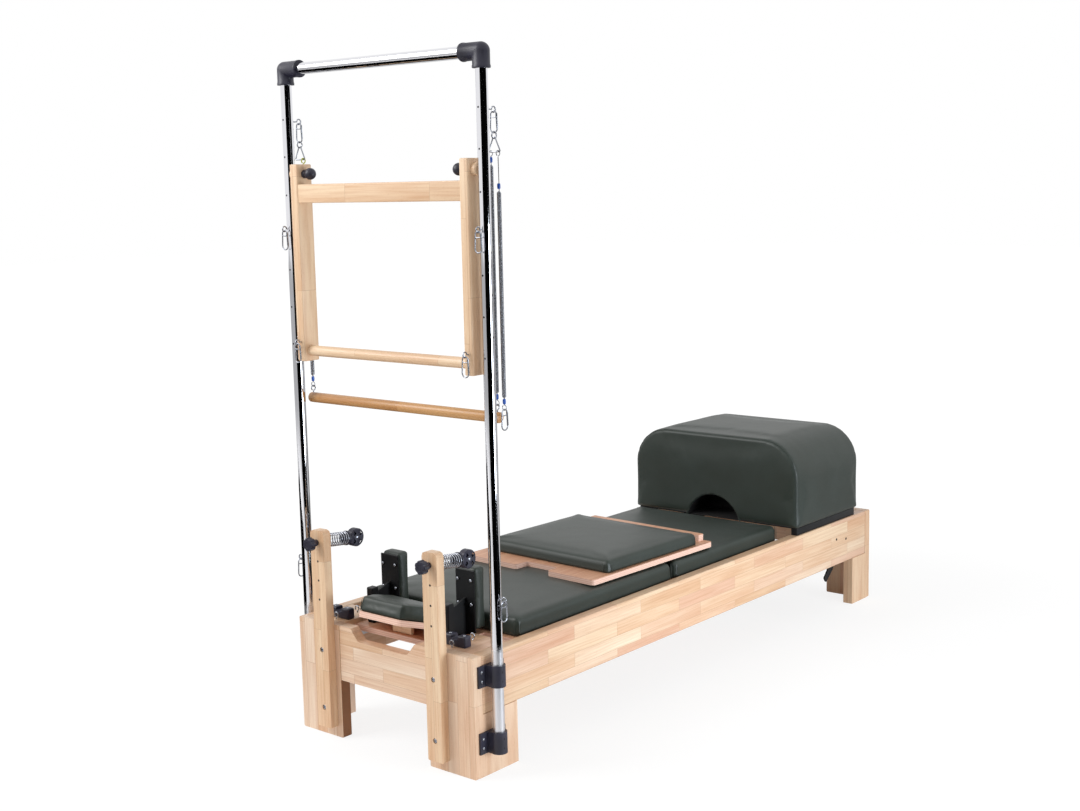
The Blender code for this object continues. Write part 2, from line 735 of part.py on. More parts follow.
def strap_shelf(side, name):
    """Corner shelf with a two-lobed strap block and a hook for the straps."""
    edges = sorted((side * (INSIDE - GAP), side * (INSIDE - SHELF_WIDTH)))
    shelf = box(f"strap_shelf_{name}", (edges[0], END_BOARD_THICKNESS + GAP, FRAME_HEIGHT - SHELF_THICKNESS),
                (edges[1], END_BOARD_THICKNESS + SHELF_LENGTH, FRAME_HEIGHT), "beech")
    wide, lobe = BLOCK_LENGTH / 2, BLOCK_LENGTH / 2 - 0.030
    top, dip = BLOCK_HEIGHT, BLOCK_HEIGHT * 0.66
    corners = [(-wide, -0.004, 0.0), (wide, -0.004, 0.0), (wide, top, 0.010), (lobe, top, 0.008),
               (lobe - 0.004, dip, 0.003), (0.004 - lobe, dip, 0.003), (-lobe, top, 0.008), (-wide, top, 0.010)]
    centre = place(side * BLOCK_X, BLOCK_SETBACK, FRAME_HEIGHT)
    block = plate(f"strap_block_{name}", rounded(corners, 0.0, 2), BLOCK_DEPTH, centre, "XZ", "black_plastic")
    seat = place(side * BLOCK_X, STRAP_EYE_SETBACK, FRAME_HEIGHT)
    eye = screw_eye(f"strap_eye_{name}", seat, (0, 0, 1), (1, 0, 0), root=WOOD_ROOT)[0]
    return fuse(shelf, block, eye)


def wheel_track(side, name):
    """Angle on the rail's inside, whose shelf the wheels roll on."""
    wall = INSIDE - GAP
    shelf, lip = wall - TRACK_WIDTH, wall - TRACK_THICKNESS
    low, under = TRACK_TOP - TRACK_DROP, TRACK_TOP - TRACK_THICKNESS
    outline = [(shelf, TRACK_TOP), (wall, TRACK_TOP), (wall, low), (lip, low), (lip, under), (shelf, under)]
    outline = [(side * x, z) for x, z in outline]
    middle = place(0, (TRACK_START + TRACK_END) / 2, 0)
    return plate(f"wheel_track_{name}", outline, TRACK_END - TRACK_START, middle, "XZ", "aluminium")


def riser(side, name):
    """Post on the head board, with three height holes and two bolts in their counterbores."""
    half = RISER_WIDTH / 2
    corners = [(-half, RISER_FOOT, 0.003), (half, RISER_FOOT, 0.003), (half, RISER_TOP, 0.014),
               (-half, RISER_TOP, 0.014)]
    holes = [circle(RISER_HOLE_RADIUS, 6, (0.0, z)) for z in RISER_HOLE_HEIGHTS]
    middle = place(side * RISER_X, -RISER_THICKNESS / 2 - GAP, 0)
    post = plate(f"riser_{name}", rounded(corners, 0.0, 2), RISER_THICKNESS - GAP, middle, "XZ", "beech", holes)
    face = -RISER_THICKNESS - GAP / 2
    for z in RISER_BOLT_HEIGHTS:
        centre = place(side * RISER_X, face, z)
        post = cut(post, rod(f"sink_{name}_{z}", 0.0085, -0.005, 0.008, centre, "Y", "beech", 12))
        fuse(post, rod(f"bolt_{name}_{z}", 0.0060, 0.003, 0.012, centre, "Y", "steel", 6))
    return post


# Riser fittings
def build_riser_fittings():
    for side, name in SIDES:
        riser(side, name)
        root = place(side * RISER_X, 0, PULLEY_SHAFT_HEIGHT)
        lobed_knob(f"riser_knob_{name}", root)
        swivel = add_pivot(f"pulley_swivel_{name}", root, -PULLEY_DROOP)
        ride(riser_spring(name, root), swivel)
        pulley_block(name, root, swivel)


def lobed_knob(name, root):
    """Knob with seven lobes on a short stem that stands on the riser's front."""
    lobes = 7
    points = []
    for i in range(lobes * 4):
        turn = 2 * math.pi * i / (lobes * 4)
        reach = KNOB_RADIUS * (0.91 + 0.09 * math.cos(lobes * turn))
        points.append((reach * math.cos(turn), reach * math.sin(turn)))
    front = root - Vector((0, KNOB_FRONT, 0))
    centre = front + Vector((0, KNOB_THICKNESS / 2, 0))
    head = plate(name, points, KNOB_THICKNESS, centre, "XZ", "black_plastic")
    seat = -RISER_THICKNESS - 2 * GAP
    stem = rod(f"{name}_stem", 0.010, KNOB_THICKNESS / 2 - KNOB_FRONT, seat, root, "Y", "black_plastic", 12)
    ride(fuse(head, stem), add_pivot(f"{name}_turn", front))


def riser_spring(name, root):
    """Stiff coil between the riser's back and the pulley block."""
    wire = RISER_SPRING_WIRE
    start = root + Vector((0, GAP + RISER_SPRING_RADIUS * math.tan(PULLEY_DROOP), 0))
    end = root + Vector((0, RISER_SPRING_LENGTH - GAP, 0))
    points = coil(start, end, RISER_SPRING_RADIUS, wire, RISER_SPRING_CURLS, Vector((0, 0, -1)))
    print("riser spring", name, "least gap to itself", round(least_gap(points, wire, 7) * 1000, 2), "mm")
    return tube(f"riser_spring_{name}", points, wire, "steel")


def pulley_block(name, root, swivel):
    """Windowed block with a flange for the spring, and the grooved wheel on its pin inside."""
    neck = root + Vector((0, RISER_SPRING_LENGTH, 0))
    centre = neck + Vector((0, 0.012 + BLOCK_RADIUS, 0))
    rim = RISER_SPRING_RADIUS + 2 * RISER_SPRING_WIRE
    profile = [(0.0, 0.014), (0.008, 0.014), (0.008, 0.005), (rim, 0.005), (rim, 0.0), (0.0, 0.0)]
    flange = turned(f"block_neck_{name}", profile, neck, "Y", "black_plastic", 12)
    bore, back = 0.007, BLOCK_RADIUS * 0.66
    outline = [(-BLOCK_RADIUS - 0.009, -bore), (-back, -back)]
    sweep = math.radians(132)
    for i in range(11):
        turn = -sweep + 2 * sweep * i / 10
        outline.append((BLOCK_RADIUS * math.cos(turn), BLOCK_RADIUS * math.sin(turn)))
    outline += [(-back, back), (-BLOCK_RADIUS - 0.009, bore)]
    windows = []
    for k in range(4):
        middle, spread = math.radians(45 + 90 * k), math.radians(27)
        corners = ((0.010, 0.0), (0.0235, -spread), (0.0245, 0.0), (0.0235, spread))
        windows.append([(r * math.cos(middle + turn), r * math.sin(middle + turn)) for r, turn in corners])
    body = plate(f"pulley_block_{name}", outline, BLOCK_WIDTH, centre, "YZ", "black_plastic", windows)
    half, reach = SHEAVE_WIDTH / 2 + 0.001, SHEAVE_RADIUS + 0.0015
    slot = rod(f"block_slot_{name}", reach, -half, half, centre, "X", "black_plastic", 14)
    offset = centre - place(0, 0, 0)
    mouth = box(f"block_mouth_{name}", offset + Vector((-half, 0.004, -reach)),
                offset + Vector((half, 2 * BLOCK_RADIUS, reach)), "black_plastic")
    end = BLOCK_WIDTH / 2 + 0.0015
    pin = rod(f"block_pin_{name}", SHEAVE_PIN_RADIUS, -end, end, centre, "X", "steel", 8)
    body = fuse(cut(body, slot, mouth), flange, pin)
    ride(body, swivel)
    width, groove = SHEAVE_WIDTH / 2, SHEAVE_RADIUS - 0.006
    bore = SHEAVE_PIN_RADIUS + GAP
    profile = [(SHEAVE_RADIUS, width), (SHEAVE_RADIUS, width - 0.002), (groove, 0.0),
               (SHEAVE_RADIUS, 0.002 - width), (SHEAVE_RADIUS, -width), (bore, -width), (bore, width)]
    wheel = turned(f"pulley_wheel_{name}", profile, centre, "X", "black_plastic", 14, closed=True)
    axle = add_pivot(f"pulley_axle_{name}", centre)
    ride(wheel, axle)
    ride(axle, swivel)


# Tower
def build_tower():
    for side, name in SIDES:
        tower_tube(side, name)
        tower_elbow(side, name)
        for level, z in CLAMPS:
            tube_clamp(side, f"{level}_clamp_{name}", z)
    sleeve("tower_crossbar", TUBE_RADIUS, TUBE_RADIUS - TUBE_WALL, -CROSSBAR_HALF_LENGTH, CROSSBAR_HALF_LENGTH,
           place(0, TUBE_SETBACK, CROSSBAR_HEIGHT), "X", "chrome", TUBE_STEPS)
    for side, name in SIDES:
        middle = place(side * TUBE_X, TUBE_SETBACK - EYE_REACH, FRONT_EYE_HEIGHT)
        hook = snap_hook(f"front_hook_{name}", eye_hang(middle), (1, 0, 0))
        ride(hook, add_pivot(f"front_hook_swing_{name}", eye_hang(middle)))
        middle = place(side * (TUBE_X + EYE_REACH), TUBE_SETBACK, SIDE_EYE_HEIGHT)
        hook = snap_hook(f"side_hook_{name}", eye_hang(middle), (0, 1, 0))
        ride(hook, add_pivot(f"side_hook_swing_{name}", eye_hang(middle)))


def tower_tube(side, name):
    """Upright tube with the screw eyes on its front, outer side and back."""
    x = side * TUBE_X
    upright = sleeve(f"tower_tube_{name}", TUBE_RADIUS, TUBE_RADIUS - TUBE_WALL, TUBE_FOOT, TUBE_TOP,
                     place(x, TUBE_SETBACK, 0), "Z", "chrome", TUBE_STEPS)
    eyes = (("front", (0, -1, 0), FRONT_EYE_HEIGHT, EYE_SHANK),
            ("side", (side, 0, 0), SIDE_EYE_HEIGHT, EYE_SHANK),
            ("back", (0, 1, 0), BACK_EYE_HEIGHT, BACK_EYE_SHANK))
    for word, outwards, z, shank in eyes:
        seat = place(x, TUBE_SETBACK, z) + Vector(outwards) * TUBE_RADIUS
        fuse(upright, screw_eye(f"{word}_eye_{name}", seat, outwards, (0, 0, 1), shank)[0])
    return upright


def tower_elbow(side, name):
    """Round elbow with a socket for the upright tube and one for the crossbar."""
    corner = place(side * TUBE_X, TUBE_SETBACK, CROSSBAR_HEIGHT)
    radius = ELBOW_RADIUS
    elbow = to_mesh(rod(f"tower_elbow_{name}", radius, -ELBOW_DROP, 0.0, corner, "Z", "black_plastic",
                        TUBE_STEPS))
    ends = sorted((-side * ELBOW_REACH, 0.0))
    arm = rod(f"elbow_arm_{name}", radius, ends[0], ends[1], corner, "X", "black_plastic", TUBE_STEPS)
    mesh = bpy.data.meshes.new(f"elbow_ball_{name}")
    shape = bmesh.new()
    bmesh.ops.create_uvsphere(shape, u_segments=TUBE_STEPS, v_segments=TUBE_STEPS // 2, radius=radius)
    shape.to_mesh(mesh)
    shape.free()
    ball = add_object(f"elbow_ball_{name}", mesh, "black_plastic")
    ball.location = corner
    bore = TUBE_RADIUS + GAP
    down = rod(f"elbow_bore_{name}", bore, -ELBOW_DROP - 0.01, SOCKET_DEPTH - ELBOW_DROP, corner, "Z",
               "black_plastic", TUBE_STEPS)
    ends = sorted((-side * (ELBOW_REACH + 0.01), -side * (ELBOW_REACH - SOCKET_DEPTH)))
    across = rod(f"elbow_arm_bore_{name}", bore, ends[0], ends[1], corner, "X", "black_plastic",
                 TUBE_STEPS)
    return cut(fuse(elbow, arm, ball), down, across)


def tube_clamp(side, name, z):
    """Saddle clamp round the tube, with two flanges on the frame and four screws."""
    seat = TUBE_STANDOFF - GAP
    flange = seat - CLAMP_FLANGE
    reach = TUBE_RADIUS + CLAMP_WALL
    half = CLAMP_WIDTH / 2
    outline = [(-seat, -half), (-flange, -half), (-flange, -reach)]
    for i in range(9):
        turn = math.radians(-90 + 180 * i / 8)
        outline.append((reach * math.cos(turn), reach * math.sin(turn)))
    outline += [(-flange, reach), (-flange, half), (-seat, half)]
    outline = [(side * x, y) for x, y in outline]
    centre = place(side * TUBE_X, TUBE_SETBACK, z)
    bore = circle(TUBE_RADIUS + GAP, TUBE_STEPS)
    clamp = plate(name, outline, CLAMP_HEIGHT, centre, "XY", "black_plastic", [bore])
    spread = half - 0.013
    ends = sorted((side * (HALF + CLAMP_FLANGE / 2), side * (HALF + GAP + CLAMP_FLANGE + 0.003)))
    for y in (-spread, spread):
        for rise in (-CLAMP_SCREW_SPACING / 2, CLAMP_SCREW_SPACING / 2):
            head = rod(f"{name}_screw_{y}_{rise}", 0.005, ends[0], ends[1],
                       place(0, TUBE_SETBACK + y, z + rise), "X", "steel", 6)
            clamp = fuse(clamp, head)
    return clamp


# Push-through bar
def build_push_bar():
    """Two uprights, rail and dowel, glued up as one bar that swings on its two pins."""
    pivot = add_pivot("push_bar_pivot", place(0, TUBE_SETBACK, PUSH_PIVOT_HEIGHT))
    front = TUBE_SETBACK - PUSH_DEPTH / 2
    inner = PUSH_X - PUSH_THICKNESS / 2 + PUSH_TENON
    rail_front = front + 4 * FLUSH
    rail = box("push_bar", (-inner, rail_front, PUSH_RAIL_LOW),
               (inner, rail_front + PUSH_RAIL_THICKNESS, PUSH_RAIL_LOW + PUSH_RAIL_HEIGHT), "beech", WOOD_EDGE)
    dowel = rod("push_dowel", PUSH_DOWEL_RADIUS, -inner, inner, place(0, TUBE_SETBACK, PUSH_DOWEL_HEIGHT), "X",
                "beech", 14)
    reach = PUSH_DEPTH / 2
    corners = [(-reach, PUSH_FOOT, 0.004), (reach, PUSH_FOOT, 0.004), (reach, PUSH_TOP, 0.006),
               (-reach, PUSH_TOP, 0.006)]
    for side, name in SIDES:
        middle = place(side * PUSH_X, TUBE_SETBACK, 0)
        upright = plate(f"push_upright_{name}", rounded(corners, 0.0, 2), PUSH_THICKNESS, middle, "YZ", "beech")
        seat = place(side * PUSH_X, front, PUSH_EYE_HEIGHT)
        eye, ring = screw_eye(f"push_eye_{name}", seat, (0, -1, 0), (0, 0, 1), root=WOOD_ROOT)
        fuse(rail, fuse(upright, eye), pivot_knob(side, name))
        swing = add_pivot(f"push_hook_swing_{name}", eye_hang(ring))
        ride(snap_hook(f"push_hook_{name}", eye_hang(ring), (1, 0, 0)), swing)
        ride(swing, pivot)
    ride(fuse(rail, dowel), pivot)


def pivot_knob(side, name):
    """Pivot pin with a round knob inside the bar and a spacer that meets the tower's tube."""
    inner = PUSH_X - PUSH_THICKNESS / 2
    outer = PUSH_X + PUSH_THICKNESS / 2
    tube_face = TUBE_X - TUBE_RADIUS - GAP
    knob_middle = inner - 0.012 - PIVOT_KNOB_RADIUS * 0.85
    profile = [(0.0, tube_face), (0.017, tube_face), (0.019, tube_face - 0.002), (0.019, outer - 0.004),
               (0.006, outer - 0.004), (0.006, inner + 0.004), (0.012, inner + 0.004), (0.012, inner - 0.003),
               (0.009, inner - 0.012)]
    for i in range(5):
        turn = math.radians(55 - 145 * i / 4)
        radius = 0.0 if i == 4 else PIVOT_KNOB_RADIUS * math.cos(turn)
        profile.append((radius, knob_middle + PIVOT_KNOB_RADIUS * math.sin(turn)))
    centre = place(0, TUBE_SETBACK, PUSH_PIVOT_HEIGHT)
    pin = turned(f"pivot_knob_{name}", profile, centre, "X", "black_plastic", 10)
    pin.rotation_euler = (0.0, side * math.pi / 2, 0.0)
    return pin


# Roll-down bar and long springs
def build_roll_down():
    """Bar on two long springs, which hang from the tubes by a hook, a ring and a D-ring each."""
    back = TUBE_SETBACK + TUBE_RADIUS + BACK_EYE_SHANK + EYE_RADIUS
    swing = add_pivot("roll_down_swing", eye_hang(place(0, back, BACK_EYE_HEIGHT)))
    springs = []
    for side, name in SIDES:
        hanger, rest = spring_hanger(name, eye_hang(place(side * TUBE_X, back, BACK_EYE_HEIGHT)))
        ride(hanger, swing)
        start = Vector((side * LONG_SPRING_X, HEAD_Y + back, rest + HOOK_WIRE + SPRING_WIRE + GAP))
        foot = start - Vector((0, 0, LONG_SPRING_LENGTH))
        ride(long_spring(f"roll_down_spring_{name}", start, foot, LONG_LINK_LENGTH), swing)
        springs.append((name, foot))
    eye_middle = foot.z - (EYE_RADIUS - EYE_WIRE - SPRING_WIRE - GAP)
    height = eye_middle - EYE_RADIUS - EYE_SHANK - BAR_RADIUS
    bar = rod("roll_down_bar", BAR_RADIUS, -BAR_HALF_LENGTH, BAR_HALF_LENGTH, place(0, back, height), "X",
              "beech", 16)
    for name, foot in springs:
        seat = Vector((foot.x, foot.y, height + BAR_RADIUS))
        fuse(bar, screw_eye(f"bar_eye_{name}", seat, (0, 0, 1), (0, 1, 0), root=WOOD_ROOT)[0])
    ride(bar, add_pivot("roll_down_pull", place(0, back, height)))
    start = Vector((DROP_SPRING_X, HEAD_Y + back, rest + HOOK_WIRE + SPRING_WIRE + GAP))
    foot = start - Vector((0, 0, DROP_SPRING_LENGTH))
    spring = long_spring("drop_spring", start, foot, DROP_LINK_LENGTH)
    hook = snap_hook("drop_hook", foot + Vector((0, 0, HOOK_WIRE + SPRING_WIRE - WELD)), (0, 1, 0))
    ride(fuse(spring, hook), add_pivot("drop_spring_swing", Vector((start.x, start.y, rest))))


def spring_hanger(name, top):
    """Snap hook, ring and D-ring that hang as one; gives the height of the D-ring's foot."""
    hook = snap_hook(f"spring_hanger_{name}", top, (1, 0, 0))
    top = linked(top - Vector((0, 0, HOOK_LENGTH)))
    ring = loop(f"hanger_ring_{name}", top, 2 * RING_RADIUS, RING_RADIUS, (0, 1, 0))
    top = linked(top - Vector((0, 0, 2 * RING_RADIUS)))
    half, foot = RING_RADIUS * 0.7, DRING_HALF_WIDTH
    outline = [(half, -half * 0.7), (half * 0.6, 0.0), (-half * 0.6, 0.0), (-half, -half * 0.7),
               (-foot, 0.005 - DRING_LENGTH), (0.003 - foot, -DRING_LENGTH), (foot - 0.003, -DRING_LENGTH),
               (foot, 0.005 - DRING_LENGTH)]
    points = [top + Vector((x, 0, z)) for x, z in outline]
    d_ring = tube(f"hanger_d_ring_{name}", points, HOOK_WIRE, "steel", 0, cyclic=True)
    return fuse(hook, ring, d_ring), top.z - DRING_LENGTH


def long_spring(name, start, foot, link):
    """Extension spring as one wire: a hook ring, a straight link, the coil, and a ring at the foot."""
    wire, ring = SPRING_WIRE, SPRING_RING_RADIUS
    down, outwards = Vector((0, 0, -1)), Vector((0, 1, 0))
    top_seat = start + down * (2 * ring + SPRING_NECK)
    coil_top = top_seat + down * link
    foot_seat = foot - down * (2 * ring + SPRING_NECK)
    coil_foot = foot_seat - down * FERRULE_LENGTH
    upper = eye_points(top_seat, -down, outwards, SPRING_NECK, ring, wire)[::-1]
    lower = eye_points(foot_seat, down, Vector((1, 0, 0)), SPRING_NECK, ring, wire)
    body = coil(coil_top + down * 0.006, coil_foot - down * 0.006, LONG_SPRING_RADIUS - wire, wire,
                LONG_SPRING_CURLS, down.orthogonal())
    points = upper + [coil_top] + body + [coil_foot] + lower
    print(name, "least gap to itself", round(least_gap(body, wire, 6) * 1000, 2), "mm")
    spring = tube(name, points, wire, "steel")
    for word, centre in (("top", coil_top), ("foot", foot_seat)):
        spring = fuse(spring, rod(f"{name}_{word}_ferrule", FERRULE_RADIUS, -0.002, FERRULE_LENGTH + 0.002, centre,
                                  "Z", "steel", 8))
    return spring


# Carriage
def build_carriage():
    slide = add_pivot("carriage_slide", place(0, (PAD_START + CARRIAGE_END) / 2, BASE_LOW))
    wide = CARRIAGE_HALF_WIDTH
    ride(carriage_base(wide), slide)
    ride(cushion("carriage_pad", (-wide, PAD_START, BASE_TOP + GAP), (wide, CARRIAGE_END, PAD_TOP),
                 "leatherette", PAD_CROWN, 0.001), slide)
    for y, word in zip(AXLE_SETBACKS, ("head", "foot")):
        axle = add_pivot(f"wheelset_axle_{word}", place(0, y, AXLE_HEIGHT))
        ride(wheelset(word, place(0, y, AXLE_HEIGHT)), axle)
        ride(axle, slide)
    ride(spring_rack(), slide)
    for side, name in SIDES:
        ride(shoulder_bracket(side, name), slide)
        x, half = side * SHOULDER_X, SHOULDER_PLATE_WIDTH / 2 + 0.001
        back = SHOULDER_PLATE_START + SHOULDER_PLATE_THICKNESS + GAP
        ride(cushion(f"shoulder_pad_{name}", (x - half, back, SHOULDER_PAD_LOW),
                     (x + half, back + SHOULDER_PAD_DEPTH, SHOULDER_PAD_LOW + SHOULDER_PAD_HEIGHT),
                     "leatherette", 0.001, 0.002, 0.010, (3, 3)), slide)
    build_headrest(slide)


def carriage_base(wide):
    """Plywood base with its tongue, four axle blocks below and the headrest's hinge on top."""
    tongue = TONGUE_HALF_WIDTH
    corners = [(-wide, SHOULDER_START), (wide, SHOULDER_START), (wide, CARRIAGE_END), (-wide, CARRIAGE_END)]
    middle = place(0, 0, BASE_LOW + BASE_THICKNESS / 2)
    base = plate("carriage_base", rounded(corners, 0.01, 2), BASE_THICKNESS, middle, "XY", "ply")
    lap = SHOULDER_START + 0.03
    corners = [(-tongue, TONGUE_START, 0.02), (tongue, TONGUE_START, 0.02), (tongue, lap, 0.0), (-tongue, lap, 0.0)]
    base = fuse(base, plate("base_tongue", rounded(corners, 0.0, 2), BASE_THICKNESS, middle, "XY", "ply"))
    top = BASE_LOW + 0.004 - AXLE_HEIGHT
    corners = [(-0.018, top, 0.0), (-0.018, -0.004, 0.003), (-0.008, -0.013, 0.003), (0.008, -0.013, 0.003),
               (0.018, -0.004, 0.003), (0.018, top, 0.0)]
    for y in AXLE_SETBACKS:
        for side, name in SIDES:
            x = side * (WHEEL_X - WHEEL_WIDTH / 2 - 0.024)
            centre = place(x, y, AXLE_HEIGHT)
            bore = circle(AXLE_RADIUS + 2 * GAP, 8)
            block = plate(f"axle_block_{y}_{name}", rounded(corners, 0.0, 1), 0.026, centre, "YZ",
                          "black_plastic", [bore])
            base = fuse(base, block)
    hinge = place(0, HEADREST_HINGE_Y, HINGE_Z)
    knuckle = rod("hinge_knuckle", 0.004, -HINGE_HALF_LENGTH, HINGE_HALF_LENGTH, hinge, "X", "black_steel", 8)
    leaf = box("hinge_leaf", (-HINGE_HALF_LENGTH, HEADREST_HINGE_Y - 0.0015, BASE_TOP - 0.002),
               (HINGE_HALF_LENGTH, HEADREST_HINGE_Y + 0.0075, HINGE_Z - 0.0005), "black_steel")
    return fuse(base, leaf, knuckle)


def wheelset(word, centre):
    """Two wheels on one axle, turned in one piece."""
    outer, inner = WHEEL_X + WHEEL_WIDTH / 2, WHEEL_X - WHEEL_WIDTH / 2
    rim, edge = WHEEL_RADIUS, WHEEL_RADIUS - 0.002
    half = [(0.0, outer), (edge, outer), (rim, outer - 0.002), (rim, inner + 0.002), (edge, inner),
            (AXLE_RADIUS, inner)]
    profile = half + [(radius, -x) for radius, x in reversed(half)]
    return turned(f"wheelset_{word}", profile, centre, "X", "black_plastic", 14)


def spring_rack():
    """Two rails under the base with the five long springs stowed between them."""
    half = max(SPRING_XS) + SPRING_RAIL_MARGIN
    top = BASE_LOW - GAP
    low, height = top - SPRING_RAIL_HEIGHT, top - SPRING_RAIL_HEIGHT / 2
    near, far = SPRING_RAIL_SETBACKS
    rack = box("spring_rack", (-half, near, low), (half, near + SPRING_RAIL_THICKNESS, top), "ply")
    fuse(rack, box("spring_rail_foot", (-half, far, low), (half, far + SPRING_RAIL_THICKNESS, top), "ply"))
    start = near + SPRING_RAIL_THICKNESS
    length = far - start
    shank, body = STOWED_SHANK_RADIUS, STOWED_SPRING_RADIUS
    for x in SPRING_XS:
        profile = [(0.0, length + 0.01), (shank, length + 0.01), (body, length - 0.03), (body, 0.03),
                   (shank, -0.01), (0.0, -0.01)]
        fuse(rack, turned(f"stowed_spring_{x}", profile, place(x, start, height), "Y", "steel", 6))
    return rack


def shoulder_bracket(side, name):
    """Pad plate, sloping web and front post, welded, with the four screws of the pad."""
    x = side * SHOULDER_X
    half = SHOULDER_PLATE_WIDTH / 2
    low = BASE_TOP + GAP
    back = SHOULDER_PLATE_START + SHOULDER_PLATE_THICKNESS
    wall = box(f"shoulder_bracket_{name}", (x - half, SHOULDER_PLATE_START, low), (x + half, back,
               SHOULDER_PLATE_TOP), "black_steel", 0.0015)
    post_half = SHOULDER_POST_SIZE / 2
    post_end = SHOULDER_POST_START + SHOULDER_POST_SIZE
    post = box(f"bracket_post_{name}", (x - post_half, SHOULDER_POST_START, low), (x + post_half, post_end,
               SHOULDER_POST_TOP), "black_steel", 0.003)
    corners = [(post_end - 0.010, low), (SHOULDER_PLATE_START + 0.002, low),
               (SHOULDER_PLATE_START + 0.002, BASE_TOP + SHOULDER_SCREW_HEIGHTS[0] + 0.020),
               (post_end - 0.010, SHOULDER_POST_TOP - 0.022)]
    web = plate(f"bracket_web_{name}", corners, 0.008, place(x, 0, 0), "YZ", "black_steel")
    fuse(wall, post, web)
    for offset in (-0.027, 0.027):
        for rise in SHOULDER_SCREW_HEIGHTS:
            centre = place(x + offset, SHOULDER_PLATE_START, BASE_TOP + rise)
            screw = rod(f"shoulder_screw_{name}_{offset}_{rise}", 0.0045, -0.003, 0.002, centre, "Y", "steel", 8)
            fuse(wall, screw)
    return wall


def build_headrest(slide):
    """Hinged headrest, laid out flat and raised by its pivot, with the prop under it."""
    hinge = place(0, HEADREST_HINGE_Y, HINGE_Z)
    tilt = add_pivot("headrest_tilt", hinge, -HEADREST_TILT)
    ride(tilt, slide)
    front, wide = HEADREST_FRONT_HALF_WIDTH, HEADREST_HALF_WIDTH
    head = -HEADREST_LENGTH
    shoulder, rear = head + HEADREST_CHAMFER, -0.0045
    corners = [(-front, head, 0.02), (front, head, 0.02), (wide, shoulder, 0.03), (wide, rear, 0.008),
               (-wide, rear, 0.008), (-wide, shoulder, 0.03)]
    middle = hinge + Vector((0, 0, HINGE_PLAY + HEADREST_BOARD_THICKNESS / 2))
    board = plate("headrest_board", rounded(corners, 0.0, 3), HEADREST_BOARD_THICKNESS, middle, "XY", "ply")
    ride(board, tilt)
    low = HINGE_Z + HINGE_PLAY + HEADREST_BOARD_THICKNESS + GAP
    ride(cushion("headrest_pad", (-wide, HEADREST_HINGE_Y + head, low),
                 (wide, HEADREST_HINGE_Y - HEADREST_PAD_INSET, low + HEADREST_PAD_THICKNESS), "leatherette", 0.004,
                 0.002, 0.014, narrow=(front / wide, HEADREST_CHAMFER)), tilt)
    foot = BASE_TOP + GAP
    half = PROP_THICKNESS / 2
    reach = HEADREST_HINGE_Y - PROP_SETBACK - half
    under = HINGE_Z + reach * math.tan(HEADREST_TILT) + HINGE_PLAY / math.cos(HEADREST_TILT)
    top = under - GAP / math.cos(HEADREST_TILT)
    corners = [(-half, foot, half - 0.0001), (half, foot, half - 0.0001), (half, top, 0.0), (-half, top, 0.002)]
    prop = plate("headrest_prop", rounded(corners, 0.0, 2), PROP_WIDTH, place(0, PROP_SETBACK, 0), "YZ", "beech")
    fold = add_pivot("prop_fold", place(0, PROP_SETBACK, foot + half))
    ride(prop, fold)
    ride(fold, slide)


# Foot end
def build_foot_end():
    pivot = add_pivot("footbar_pivot", place(0, FOOTBAR_PIVOT_Y, FOOTBAR_PIVOT_HEIGHT))
    tip = FOOTBAR_PIVOT_Y - FOOTBAR_LENGTH
    bend = FOOTBAR_BEND
    path = [(FOOTBAR_X, FOOTBAR_PIVOT_Y, FOOTBAR_PIVOT_HEIGHT)]
    for i in range(6):
        turn = math.radians(90 * i / 5)
        path.append((FOOTBAR_X - bend + bend * math.cos(turn), tip + bend - bend * math.sin(turn),
                     FOOTBAR_PIVOT_HEIGHT))
    path += [(-x, y, z) for x, y, z in reversed(path)]
    bar = to_mesh(tube("footbar", [place(*point) for point in path], FOOTBAR_RADIUS, "black_steel", 2))
    half = FOOTBAR_HUB_LENGTH / 2
    bore = (FOOTBAR_PIN_RADIUS + GAP) / math.cos(math.pi / FOOTBAR_PIN_STEPS)
    hubs = [(name, place(side * FOOTBAR_X, FOOTBAR_PIVOT_Y, FOOTBAR_PIVOT_HEIGHT)) for side, name in SIDES]
    for name, centre in hubs:
        fuse(bar, rod(f"footbar_hub_{name}", FOOTBAR_HUB_RADIUS, -half, half, centre, "X", "black_steel", 12))
    for name, centre in hubs:
        cut(bar, rod(f"footbar_bore_{name}", bore, -half - 0.005, half + 0.005, centre, "X", "black_steel",
                     FOOTBAR_PIN_STEPS))
    ride(bar, pivot)
    ride(sleeve("footbar_grip", GRIP_RADIUS, FOOTBAR_RADIUS + GAP, -GRIP_HALF_LENGTH, GRIP_HALF_LENGTH,
                place(0, tip, FOOTBAR_PIVOT_HEIGHT), "X", "foam", 18), pivot)
    footbar_carrier()


